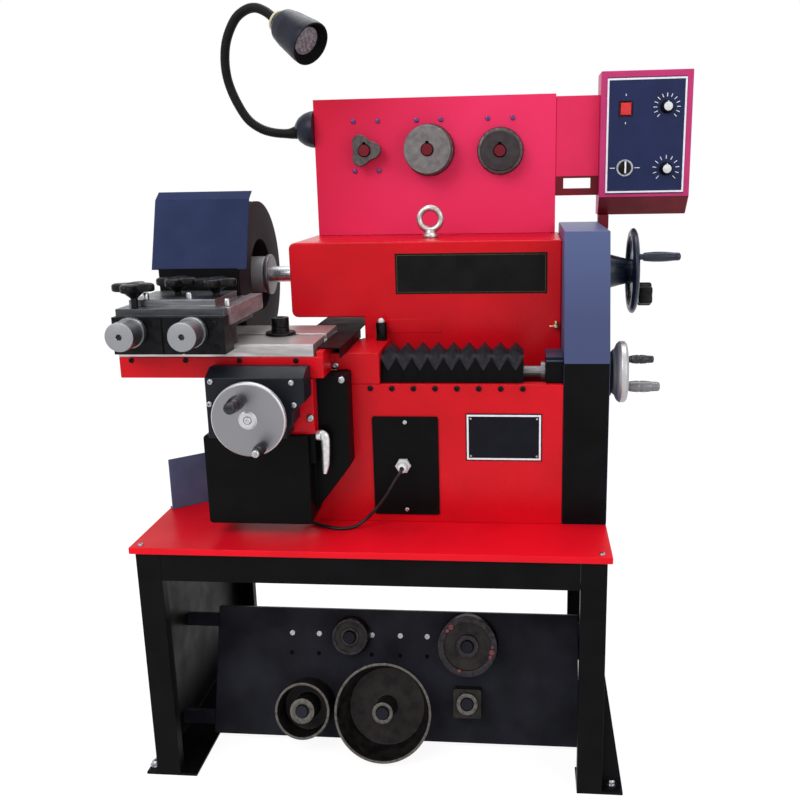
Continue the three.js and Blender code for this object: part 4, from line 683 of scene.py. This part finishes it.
# The carriage: a ground dovetail slide in the bed, the red cast saddle on it and a black sheet cover over
# the ways. Its front carries four screws, and three bright bolts hold the end block and the gearbox.
for held in frame["nodes"]["bed_slide"].material_slots:
    held.material = ground_shaft
edged("saddle", 1.5, red_enamel)
edged("way_cover", 0.8, black_powder_coat)
build("beam_screws", [bolt_head("y", (x, 771), 75, -1, 4.6, 2.4, 2.0) for x in (-409, -312, -217, -119)],
      "carriage", black_oxide)

# The feed gearbox: a black powder-coated housing under the saddle with a red apron behind its
# front cover. The cover is a folded dark lid with four bright screws round the handwheel's boss.
gearbox = edged("feed_gearbox", 1.5, black_powder_coat)
also(gearbox, red_enamel, lambda x, y, z, nx, ny, nz: ((ny < -0.9) & (abs(y - 73) < 1))
     | ((nx > 0.9) & (abs(x + 92) < 1)))
build("apron_strip", [block((-103, 72.2, 589), (-91.4, 73.3, 642)),
                      block((-92.3, 72.2, 589), (-91.2, 99.8, 642))], "carriage", black_powder_coat)
cover_coat = coat("charcoal powder coat", "#191c24", "#12141a", clouds(50), 0.15, 0.42, 0.06, 2.2)
edged("gearbox_cover", 1.5, cover_coat)
cover_places = ((-252, 746), (-115, 744.5), (-112, 707), (-256, 708))
build("cover_bolts", [bolt_head("y", (x, z), 20, -1, 5, 3, 2.1) for x, z in cover_places], "carriage", zinc)
cheek_places = ((-66, 748, 146), (-47, 732, 100), (-98, 671, 73))
build("cheek_bolts", [bolt_head("y", (x, z), face, -1, 6.5, 5, 2.8) for x, z, face in cheek_places],
      "carriage", zinc)

# The cross handwheel: a plain aluminium disc turned from the solid, with a socket screw in its hub
# and two dark ringed handles. The feed lever beside it is a bright forged hook on a short shaft.
wheel_x, wheel_z = -180, 691
cross_aluminium = turned_metal("faced aluminium", "#8f8e93", "#7e7d82", "Y", (wheel_x, 0, wheel_z), 1.3, 0.8,
                               0.42, 0.02)
# Painted highlight: the wheel's outer edge and its hub's end take a lighter aluminium than the faced disc.
rim_painted_highlight = turned_metal("polished aluminium edge", "#d2d1d6", "#b9b8bd", "Y", (wheel_x, 0, wheel_z), 1.3,
                          0.7, 0.36, 0.02)
cross_rows = soften([(0, 4), (15, 4), (15, -7), (59.5, -7), (62.5, -10), (62.5, -17), (59.5, -20), (16, -20),
                     (14, -20.6), (13.4, -22.4), (7, -22.4), (6.6, -20.4), (0, -20.4)], 1.0)
cross_wheel = build("turned_cross_wheel", [turned("y", (wheel_x, wheel_z), cross_rows, 96),
                                           turned("y", (wheel_x, wheel_z), rod(8, 4, 59), 32),
                                           bolt_head("y", (wheel_x, wheel_z), -20.3, -1, 6, 3, 2.6)],
                    "cross_wheel", cross_aluminium)
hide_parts("cross_handwheel")


def polished(x, y, z, *normal):
    """The faces of the wheel's outer edge and of its hub's end, which take the lighter aluminium as painted
    highlight.
    """
    reach = np.hypot(x - wheel_x, z - wheel_z)
    return (reach > 60.5) | ((reach < 15.5) & (y < -19))


also(cross_wheel, rim_painted_highlight, polished)
end_rows = soften([(0, -63), (6.5, -63), (6.5, -66), (5, -67.5), (0, -67.5)], 0.8)
build("grip_ends", [turned("y", (-157, 648), end_rows, 32)], "cross_wheel", zinc)
build("cross_grips", [grip("y", (-189, 726), -18, -1, 12.4, 66), grip("y", (-157, 648), -18, -1, 9.6, 47)],
      "cross_wheel", grip_grey)
lever_bright = shaded("polished forged steel", "#dcdcde", "#bfbfc2", clouds(7), 0.34, 0.06, clouds(1.5),
                      0.03, metallic=0.8)


def smooth_path(knots, steps):
    """A Catmull-Rom curve: between two knots, the cubic whose slopes join each knot's neighbours."""
    ends = np.vstack([2 * knots[:1] - knots[1:2], knots, 2 * knots[-1:] - knots[-2:-1]])
    t = (np.arange(steps) / steps)[None, :, None]
    a, b, c, d = (ends[i:len(ends) - 3 + i, None] for i in range(4))
    body = 0.5 * (2 * b + (c - a) * t + (2 * a - 5 * b + 4 * c - d) * t ** 2
                  + (3 * b - a - 3 * c + d) * t ** 3)
    return np.vstack([body.reshape(-1, 3), knots[-1:]])


def swept(path, radius, sides=20):
    """A round tube along a path. Its cross axes are the tangent's products with a fixed
    lean that the path never takes; its ends close on the path."""
    tangent = np.gradient(path, axis=0)
    tangent /= np.linalg.norm(tangent, axis=1)[:, None]
    first = np.cross(tangent, (0.25, 1.0, -0.55))
    first /= np.linalg.norm(first, axis=1)[:, None]
    second = np.cross(tangent, first)
    a = np.arange(sides) * 2 * np.pi / sides
    ring = first[:, None] * np.cos(a)[None, :, None] + second[:, None] * np.sin(a)[None, :, None]
    grid = path[:, None] + np.broadcast_to(radius, len(path))[:, None, None] * ring
    return skin(np.concatenate([np.repeat(path[:1, None], sides, 1), grid,
                                np.repeat(path[-1:, None], sides, 1)]))


lever_y, flattening = 82, 0.62
hook = smooth_path(np.array([[-91.7, 82, 636], [-88, 82, 639], [-81, 82, 638.5], [-77, 82, 631],
                             [-76.5, 82, 610], [-77.5, 82, 585], [-80, 82, 567.5]]), 12)
share = np.linspace(0, 1, len(hook))
blade, blade_quads = swept(hook, np.interp(share, [0, 0.3, 0.45, 0.85, 1], [5.5, 8, 8.6, 6.4, 3.6]), 16)
blade[:, 1] = lever_y + (blade[:, 1] - lever_y) * flattening
lever_shaft = turned("x", (lever_y, 636), soften(rod(8, -91.7, -84), 0.8), 32)
lever = build("forged_lever", [(blade, blade_quads), lever_shaft], frame["nodes"]["feed_lever"]["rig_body"],
              lever_bright)
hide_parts("feed_lever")

# The cross slide's table: ground aluminium with one T-slot along it, and the tee bolt's
# black post in the slot.
ground_table = shaded("ground table metal", "#c9c4c5", "#aaa6a6", clouds(5, (10, 0.6, 1)), 0.4, 0.08,
                      clouds(1.4, (14, 0.5, 1)), 0.02, metallic=0.9)
edged("slotted_table", 0.8, ground_table)
tee_rows = soften([(0, 798.6), (27, 798.6), (27, 803.6), (16, 803.6), (16, 811), (15, 812), (16, 813),
                   (16, 829.6), (6, 829.6), (6, 824), (0, 824)], 1.2)
tee_axis = (-170, 176)
tee_post = build("tee_post", [turned("z", tee_axis, tee_rows),
                              turned("z", tee_axis, rod(6, 786.8, 799), 24),
                              block((-181, 165, 786.8), (-159, 187, 792.3))], "cross_slide", black_oxide)
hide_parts("tee_bolt")


# The twin cutter: a blackened steel body with a ground clamp plate and pad on top, which hold two square
# tool bars. Each bar's tip is a small carbide square.
def worn_plate(name, colour, second, gloss):
    """Ground steel with fine scratches along x, where chips were wiped off."""
    return shaded(name, colour, second, clouds(6, (8, 0.6, 1)), gloss, 0.08, clouds(1.4, (12, 0.5, 1)), 0.02,
                  metallic=1.0)


cutter_black = shaded("blackened steel", "#121214", "#1d1d1f", clouds(12), 0.42, 0.07, clouds(1.2), 0.02,
                      metallic=0.7, level=0.2)
rough_bar = shaded("rough rolled bar steel", "#8d8084", "#71666a", clouds(12, (1, 4, 1)), 0.45, 0.08,
                   clouds(2.2), 0.2, metallic=0.6)
ground_plate = worn_plate("ground steel plate", "#7b7d80", "#606265", 0.38)
plate_front_painted_shade = worn_plate("ground steel plate, painted_shade", "#4a4c50", "#3c3e42", 0.42)
cutter = edged("cutter_body", 0.9, cutter_black)
also(cutter, ground_plate, lambda x, y, z, nx, ny, nz: (z > 853.5) & (y > 30.5))
# Painted shade: the clamp plate's front faces take a darker copy of the same ground steel.
also(cutter, plate_front_painted_shade, lambda x, y, z, nx, ny, nz: (z > 853.5) & (z < 866) & (ny < -0.9))
build("body_seam", [block((-332.2, 29.3, 792), (-330, 30.3, 852))], "cross_slide", hole_black)
edged("tool_bar_left", 0.7, rough_bar)
edged("tool_bar_right", 0.7, rough_bar)
screw_places = ((-240, 803), (-240, 843), (-410, 843))
build("body_screws", [bolt_head("y", (x, z), 30, -1, 4, 2.4, 1.7) for x, z in screw_places], "cross_slide",
      black_oxide)
pin_places = ((-377, 86, 876, 11), (-300, 86, 876, 11), (-233, 80, 865, 12))
build("plate_pins", [bolt_head("z", (x, y), face, 1, 5.5, tall, 2.4) for x, y, face, tall in pin_places],
      "cross_slide", zinc)


# The two dials: knurled aluminium drums with a graduated collar and a hexagon bore in the
# end. Each moves its own tool bar.
def round_face(bar, x, z, angle):
    """A bar drawn up from a point on a front face, turned clockwise about that point."""
    points, quads = bar
    return np.stack([x + points[:, 0] * np.cos(angle) + points[:, 2] * np.sin(angle), points[:, 1],
                     z - points[:, 0] * np.sin(angle) + points[:, 2] * np.cos(angle)], axis=-1), quads


def dial_marks(x, z, count, depth):
    """Thin engraved lines round the collar: a bar along the axis at each angle, every fifth one longer."""
    return [round_face(block((-0.35, 19 if k % 5 == 0 else 22, 25.2), (0.35, 26, 25.2 + depth)), x, z,
                       2 * np.pi * k / count) for k in range(count)]


engraving = shaded("black filled engraving", "#1a1a1b", "#262627", clouds(3), 0.6, 0.05, clouds(1), 0.01)
around = np.arange(96) * np.pi / 48
knurl = 24 - 0.35 * (np.cos(around * 48) > 0)
dial_z = 829
for side, x in (("left", -381), ("right", -277)):
    dial_metal = turned_metal("turned dial aluminium " + side, "#9d9fa3", "#85878b", "Y", (x, 0, dial_z),
                              1.2, 1.0, 0.4)
    hexagon_bore = 4.6 / np.cos(around % (np.pi / 3) - np.pi / 6)
    body_rows = [(0, -9.2), (hexagon_bore, -9.2), (hexagon_bore, -26.4), (hexagon_bore + 0.6, -27),
                 (21.5, -27), (23, -26.6), (23.9, -25.4), (knurl, -24), (knurl, 11), (23.8, 12),
                 (23.6, 14.6), (25.2, 14.6), (25.5, 15.2), (25.5, 26), (25, 27), (7, 27), (7, 39.5),
                 (0, 39.5)]
    drum = build("drum_dial_" + side, [turned("y", (x, dial_z), body_rows, 96)], f"dial_{side}_body",
                 dial_metal)
    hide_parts("dial_" + side)
    build("dial_lines_" + side, dial_marks(x, dial_z, 50, 0.45), f"dial_{side}_body", engraving)

# The three clamp knobs: four-lobed stars moulded in black phenolic over a steel stud, on a conical foot.
wave = 0.8 + 0.2 * np.cos(4 * around)
for name, x, y, base, rise in (("outer", -386, 58, 865.3, 27), ("middle", -338, 132, 876.3, 17),
                               ("inner", -264, 118, 876.3, 17)):
    under = base + rise
    star_rows = [(0, base), (6, base), (6, under - 11), (12, under - 6), (19, under)]
    star_rows += star(wave, 37, under, ((4, 0.2), (1.4, 1), (0, 3.2), (0, 10.2), (1.6, 12.6), (5, 14)))
    star_rows += [(11, under + 13.6), (10, under + 12.6), (0, under + 12.6)]
    knob = build("star_knob_" + name, [turned("z", (x, y), star_rows, 96)], "clamp_" + name, phenolic)
    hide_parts("clamp_knob_" + name)

# The chip shield and the chip plate: bent navy sheet. The shield's foot is screwed to the
# cutter and its top leans back over the disc; the plate stands on the bench behind the gearbox.
shield_coat = coat("navy powder coat, sheet", "#1e294e", "#1b2547", clouds(80), 0.07, 0.42, peel=2.2)
shield = edged("chip_shield", 0.6, shield_coat)
# Painted shade: the shield's lower part, below z 909, takes the black coat for the shade between the shield
# and the knobs.
also(shield, black_powder_coat, lambda x, y, z, nx, ny, nz: z < 909)
# Painted light: the chip plate is the same navy sheet as the shield, painted a lighter grey-blue to lift it
# out of the shade it stands in.
plate_painted_light = coat("grey-blue powder coat, flat sheet", "#5e6b8c", "#515d7c", clouds(60), 0.1, 0.4)
edged("chip_plate", 0.6, plate_painted_light)
build("shield_screws", [bolt_head("y", (x, 861), 226, -1, 4.2, 2.4, 1.8) for x in (-396, -334)],
      "cross_slide", zinc)

# The tool board above the headstock: a folded sheet in the same enamel, lit pinkish, with three red pegs and
# bluish plated screws in its holes. The pink is painted glare: the red runs pinker and lighter from the top
# left towards the lower right, and the pegs' ends are painted shade in dark red.
board_painted_glare = coat("gloss pink-red enamel", "#c41533", "#e3305f", drift((-150, 500, 1224), (60, 500, 1060)),
                   0.12, 0.36, peel=4)
# Dark red for painted shade: on the board's pegs, under the control box, round the arm's slot and on the
# hinge stub.
shadow_enamel = shaded("dark red enamel", "#6f1522", "#5a101b", clouds(60), 0.4, 0.05, clouds(4), 0.03,
                       level=0.16)
blue_zinc = shaded("blue zinc plate", "#6a4f84", "#51406e", clouds(4), 0.34, 0.07, clouds(0.8), 0.01,
                   metallic=1.0)
board = edged("tool_board", 0.9, board_painted_glare)
# Painted shade: the pegs' faces in front of the board take the dark red.
also(board, shadow_enamel, lambda x, y, z, nx, ny, nz: y < 494)
board_face = 498
hole_places = [(x + d, 1180) for x in (-56, 73, 217) for d in (-25, 25)] + [(-81, 1082), (-31, 1082)]
build("board_studs", [bolt_head("y", (x, z), board_face, -1, 4.8, 3, 2.0) for x, z in hole_places], "frame",
      blue_zinc)


# The three upper adapters: stepped cones turned from cast iron, each with a keyed bore
# that hangs on its peg. The left one is a small three-lobed driver.
def handled_iron(name, colour, second, size):
    """Turned cast iron, stained in clouds of this size by the hands that lift it."""
    return shaded(name, colour, second, clouds(size), 0.45, 0.08, clouds(1.1), 0.04, metallic=0.85)


adapter_iron = handled_iron("turned cast iron, handled", "#5a5453", "#443f3f", 9)
faced_iron = handled_iron("faced cast iron, bright", "#75706f", "#5f5c5e", 14)
dark_iron = handled_iron("faced cast iron, oiled", "#3f393c", "#312c2f", 14)
keyway = 16.2
keyed = np.where((np.abs(np.sin(around - np.pi / 2) * keyway) < 4) & (np.sin(around) > 0), keyway, bore)
cones = {"left": (-56, 1122, 18, 30, 19, 13), "middle": (73, 1121, 47.5, 44, 52, 26),
         "right": (217, 1116, 39, 34, 47, 14)}
for name, (x, z, outer, depth, plate, plate_depth) in cones.items():
    face, back = board_face - depth, board_face - 0.3
    if name == "left":
        petals = (outer * 1.16 + plate_depth) * (1 - 0.16 + 0.16 * np.cos(3 * around))
        rows = [(keyed, back), (plate, back), (plate, face + plate_depth),
                (petals - 1.2, face + plate_depth), (petals, face + plate_depth - 1.2), (petals, face + 1.4),
                (petals - 1.6, face), (keyed + 0.5, face), (keyed, face + 0.6), (keyed, back)]
    else:
        rows = [(keyed, back), (plate - 0.8, back), (plate, back - 1),
                (plate * 0.95, back - plate_depth + 0.6), (plate * 0.93, back - plate_depth),
                (outer, back - plate_depth), (outer, face + 1.2), (outer - 1.2, face), (keyed + 0.6, face),
                (keyed, face + 0.6), (keyed, back)]
    cone = build("turned_cone_" + name, [turned("y", (x, z), rows, 96)], "frame", adapter_iron)
    if name != "left":
        also(cone, faced_iron if name == "middle" else dark_iron,
             lambda px, py, pz, nx, ny, nz: py < face + 1)
    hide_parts("stepped_cone_" + name)

# The control box on its folded arm: gloss red and mauve-red enamel outside, a navy printed face with a white
# edge, and a hinge stub below the arm in dark red painted shade.
arm_enamel = coat("gloss red enamel, arm", "#dc3059", "#d62e58", clouds(80), 0.1, 0.38, peel=4)
box_enamel = coat("gloss mauve-red enamel", "#bd3a70", "#b03269", clouds(80), 0.12, 0.38, peel=4)
edged("box_arm", 0.9, arm_enamel)
box = edged("control_box", 1.4, box_enamel)
face_navy = shaded("navy printed panel", "#242c51", "#212849", clouds(40), 0.42, 0.04, clouds(2), 0.01,
                   level=0.1)
box_face = 476
also(box, face_navy, lambda x, y, z, nx, ny, nz: (ny < -0.9) & (y < box_face + 1))
# Painted shade: the box's downward faces take the dark red.
also(box, shadow_enamel, lambda x, y, z, nx, ny, nz: nz < -0.5)
build("face_border", border(426, 578, 1030, 1247, box_face, 3.4, 0.4), "frame", white_ink)
# Painted shade: a thin dark red frame round the arm's slot, where the folded arm is in its own shade.
surround = ((329, 413, 1060, 1064), (329, 413, 1027, 1040), (329, 344, 1040, 1060), (398, 413, 1040, 1060))
build("slot_surround", [block((x0, 500.4, z0), (x1, 501.2, z1)) for x0, x1, z0, z1 in surround], "frame",
      shadow_enamel)
# Painted shade: the hinge stub is dark red for the shade under the arm.
build("hinge_stub", [block((415, 498, 958), (436, 524, 986.4))], "frame", shadow_enamel,
      bevel=1.2)


# The controls: a red rocker, two black knobs with white caps inside rings of printed
# ticks, and a selector with a white bar on a grey ring.
def dial_ticks(x, z, inner, outer, first, last, count):
    """A ring of printed ticks: each is a bar from the inner to the outer radius, at even
    angles in degrees."""
    return [round_face(block((-0.7, box_face - 0.4, inner), (0.7, box_face + 0.1, outer)), x, z, angle)
            for angle in np.radians(np.linspace(first, last, count))]


rocker_red = shaded("gloss red polycarbonate", "#d8121c", "#b60c15", clouds(10), 0.25, 0.04, clouds(2),
                    0.005, ior=1.58)
edged("power_switch", 0.6, rocker_red)
build("rocker_frame", border(448.4, 475.6, 1174.6, 1205.4, box_face, 2.0, 0.7), "frame", phenolic,
      bevel=0.3)
speed_dial, feed_dial, mode_dial = (541, 1192), (543, 1075), (463, 1078)
printed = dial_ticks(*speed_dial, 19, 26, -135, 135, 13) + dial_ticks(*feed_dial, 19, 26, -135, 135, 11)
printed += dial_ticks(*mode_dial, 19, 29, -90, 90, 2) + dial_ticks(462, 1214, 0, 4, 0, 0, 1)
printed += dial_ticks(462, 1163, -2, 2, 0, 90, 1)
build("face_ticks", printed, "frame", white_ink)
fluted = 1 - 0.04 * (np.cos(around * 16) > 0)
for name, (x, z) in (("speed", speed_dial), ("feed", feed_dial)):
    rows = [(0, 475.7), (13, 475.7), (13, 474.8), (11.4, 471.4), (10.6 * fluted, 470.4),
            (9.6 * fluted, 458.2), (8.4, 457.7), (0, 457.7)]
    pot = build("fluted_knob_" + name, [turned("y", (x, z), rows, 96),
                                        turned("y", (x, z), rod(3, 475, 488), 20)], f"{name}_knob_body",
                phenolic)
    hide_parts(f"{name}_knob")
    cap_rows = [(0, 458), (8.2, 458), (8.2, 456.9), (7.4, 456.3), (0, 456.2)]
    build("knob_cap_" + name, [turned("y", (x, z), cap_rows, 48)], f"{name}_knob_body", white_nylon)
    build("knob_line_" + name, [block((x - 0.7, 457.5, z + 8.2), (x + 0.7, 472, z + 10.4))],
          f"{name}_knob_body", white_ink)
waist_rows = soften([(0, 475.7), (11.6, 475.7), (11.6, 472), (10, 469.6), (10, 467), (0, 467)], 0.6)
selector = build("waisted_selector", [turned("y", mode_dial, waist_rows, 64),
                                      block((459.4, 463.4, 1065.6), (466.6, 469, 1091.4)),
                                      turned("y", mode_dial, rod(3, 475, 488), 20)],
                 "mode_selector_body", phenolic, bevel=0.5)
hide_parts("mode_selector")
build("selector_bar", [block((461.4, 463.0, 1068), (464.6, 463.6, 1091))], "mode_selector_body", white_ink)
ring_rows = soften([(12.6, 476.1), (12.6, 474.6), (16.2, 474.6), (16.2, 476.1), (12.6, 476.1)], 0.3)
build("selector_ring", [turned("y", mode_dial, ring_rows, 64)], "frame", zinc)


# The work lamp: a navy-black dome on the board's side, a ribbed steel gooseneck in a
# black sleeve and a cupped head with a cream ring at its collar and a recessed LED lens.
def lamp_enamel(name, colour, second, gloss, level):
    """Black enamel on the lamp's parts, which differ in gloss and in what is left of their reflection."""
    return shaded(name, colour, second, clouds(18), gloss, 0.06, clouds(2.4), 0.02, level=level)


neck_shares = np.array([[0, 0, 0], [-0.1606, -0.0235, -0.013], [-0.3942, -0.0588, 0],
                        [-0.5839, -0.0941, 0.039], [-0.7591, -0.1412, 0.1212], [-0.9051, -0.2118, 0.2771],
                        [-0.9927, -0.2824, 0.4459], [-1, -0.3647, 0.6104], [-0.9343, -0.4588, 0.7706],
                        [-0.781, -0.5647, 0.9177], [-0.6058, -0.6588, 0.987], [-0.4307, -0.7529, 1],
                        [-0.2701, -0.8471, 0.961], [-0.146, -0.9412, 0.9048], [-0.0876, -1, 0.881]])
neck_foot, neck_size = np.array([-197, 511, 1163]), (137, 85, 231)
neck_path = smooth_path(neck_foot + neck_shares * neck_size, 60)
travel = np.concatenate([[0], np.cumsum(np.linalg.norm(np.diff(neck_path, axis=0), axis=1))])
ribs = 9.3 - 0.45 * np.abs(np.sin(np.pi * travel / 4.4)) ** 3 + 3.5 * np.clip(1.35 - travel / 26, 0, 1) ** 2
sleeve_black = lamp_enamel("black neck sleeve", "#0b0b0d", "#131315", 0.45, 0.1)
lamp_black = lamp_enamel("navy-black lamp enamel", "#151723", "#1c1f2d", 0.34, 0.18)
lamp_inside = lamp_enamel("matt black lamp enamel", "#070708", "#0c0c0e", 0.7, 0.06)
dome_rows = soften([(0, -206.3), (7.4, -206.3), (12.6, -204.2), (24, -196.4), (31.8, -185.2), (35.9, -173.2),
                    (36.8, -165), (37, -163.3), (0, -163.3)], 4, 5)
neck = build("ribbed_gooseneck", [swept(neck_path, ribs)], "frame", sleeve_black)
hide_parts("lamp_neck")
build("lamp_dome", [turned("x", (512, 1167), dome_rows, 64)], "frame", lamp_black)
aim = np.array([0.74, -0.44, -0.51])
aim /= np.linalg.norm(aim)
side_way = np.cross(aim, (0, 0, 1))
side_way /= np.linalg.norm(side_way)
tilt = np.stack([side_way, np.cross(aim, side_way), aim])


def on_neck(rows, sides=64):
    """A turned surface whose axis is the lamp's aim, from the end of the neck."""
    points, quads = turned("z", (0, 0), rows, sides)
    return points @ tilt + neck_path[-1], quads


cup_rows = soften([(0, 0.8), (17.5, 0.8), (19, 2), (19, 7), (24, 12), (32, 22), (36.4, 42), (37.8, 55),
                   (39.4, 68), (42, 88), (42, 100.4), (38.4, 100.4), (28.2, 85), (0, 85)], 2.4)
head = build("lamp_cup", [on_neck(cup_rows)], "frame", lamp_black)
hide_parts("lamp_head")
mouth_start, mouth_radius = 84, 40.5


def in_cup(x, y, z, *normal):
    """The faces inside the lamp's mouth: far enough along the aim and near enough to it."""
    away = np.stack([x, y, z], axis=-1) - neck_path[-1]
    return (away @ aim > mouth_start) & (np.linalg.norm(np.cross(away, aim), axis=1) < mouth_radius)


also(head, lamp_inside, in_cup)
cream = shaded("cream moulded ABS", "#c9c2a8", "#b7b095", clouds(6), 0.45, 0.05, clouds(1.4), 0.01, ior=1.53)
lens_grey = shaded("frosted polycarbonate lens", "#8f8d93", "#6c6a70", clouds(7), 0.3, 0.05, clouds(1.6),
                   0.02, level=0.3, ior=1.58)
ring_rows = soften([(17.5, 1.6), (21.4, 1.6), (21.4, 6.6), (17.5, 6.6), (17.5, 1.6)], 0.8)
build("collar_ring", [on_neck(ring_rows)], "frame", cream)
lens_rows = [(0, 84.6), (27, 84.6), (27, 86.4), (25.6, 87.2), (0, 87.6)]
bead, bead_quads = on_neck([(0, 87), (3.4, 87), (2.8, 89), (1.4, 90.2), (0, 90.4)], 14)
bead_places = [(0, 0)] + [(k * np.pi / 3, 10) for k in range(6)]
bead_places += [(k * np.pi / 6 + 0.2, 19.5) for k in range(12)]
beads = [(bead + (np.array([np.cos(a), np.sin(a), 0]) * reach) @ tilt, bead_quads)
         for a, reach in bead_places]
build("led_lens", [on_neck(lens_rows)] + beads, "frame", lens_grey)

# The oiler: a short black stub with a pale cap, on the saddle in front of the headstock,
# left of the bellows.
oiler_axis = (-2, 276)
build("oiler_stub", [turned("z", oiler_axis, soften(rod(10.5, 769.6, 804), 1.6), 32)], "carriage",
      black_oxide)
oiler_top = soften([(0, 803.5), (6, 803.5), (5.6, 808), (3, 811.6), (0, 812)], 1.4)
build("oiler_cap", [turned("z", oiler_axis, oiler_top, 32)], "carriage", white_nylon)


# A pale matt floor under the stand, seen as white, and a white room round it. Three large soft lamps, at the
# left, the right and above, and the room light the machine evenly.
def seen(material):
    """One for a ray from the camera, a reflection or a clear part, and nought for light
    that falls on things."""
    ray = wire(material, "LightPath", {}).outputs
    either = wire(material, "Math", {0: ray["Is Camera Ray"], 1: ray["Is Glossy Ray"]}, operation="MAXIMUM")
    return wire(material, "Math", {0: either.outputs[0], 1: ray["Is Transmission Ray"]},
                operation="MAXIMUM").outputs[0]


pale_floor = shaded("pale matt floor", "#f2f2f3", "#eeeeef", clouds(400), 0.85, 0.05, clouds(40), 0.01,
                    level=0.0, ior=1.4)
glow = wire(pale_floor, "Emission", {"Color": srgb("#ffffff"), "Strength": 1.16})
part_lit = wire(pale_floor, "MapRange", {"Value": seen(pale_floor), "To Min": 0.0, "To Max": 0.78})
floor_nodes = pale_floor.node_tree.nodes
veiled = wire(pale_floor, "MixShader", {0: part_lit.outputs[0], 1: floor_nodes["Principled BSDF"].outputs[0],
                                        2: glow.outputs[0]})
pale_floor.node_tree.links.new(veiled.outputs[0], floor_nodes["Material Output"].inputs[0])
ground = bpy.data.meshes.new("floor")
ground.from_pydata([(-9, -6, 0), (9, -6, 0), (9, 12, 0), (-9, 12, 0)], [], [(0, 1, 2, 3)])
ground.materials.append(pale_floor)
floor = bpy.data.objects.new("floor", ground)
bpy.context.scene.collection.objects.link(floor)
lamps = {"key": ((-1.6, -2.6, 3.0), 0.7, 75, 2.2), "fill": ((2.4, -2.4, 1.8), 0.7, 32, 2.4),
         "top": ((0.2, 0.9, 3.2), 0.8, 52, 2.4)}
for name, (spot, aim_height, power, size) in lamps.items():
    lamp = bpy.data.lights.new(name, "AREA")
    lamp.energy, lamp.size = power, size
    lit = bpy.data.objects.new(name, lamp)
    back_way = np.array(spot) - (0, 0, aim_height)
    back_way /= np.linalg.norm(back_way)
    across = np.cross((0, 0, 1), back_way)
    across /= np.linalg.norm(across)
    stance = np.eye(4)
    stance[:3, 0], stance[:3, 1] = across, np.cross(back_way, across)
    stance[:3, 2], stance[:3, 3] = back_way, spot
    lit.matrix_world = Matrix(stance.tolist())
    bpy.context.scene.collection.objects.link(lit)
room = bpy.data.worlds.new("room")
room.use_nodes = True
bpy.context.scene.world = room
bright = wire(room, "MapRange", {"Value": seen(room), "To Min": 0.5, "To Max": 1.0})
sky = room.node_tree.nodes["Background"]
sky.inputs["Color"].default_value = srgb("#ffffff")
room.node_tree.links.new(bright.outputs[0], sky.inputs["Strength"])
bpy.context.scene.view_settings.view_transform = "Standard"
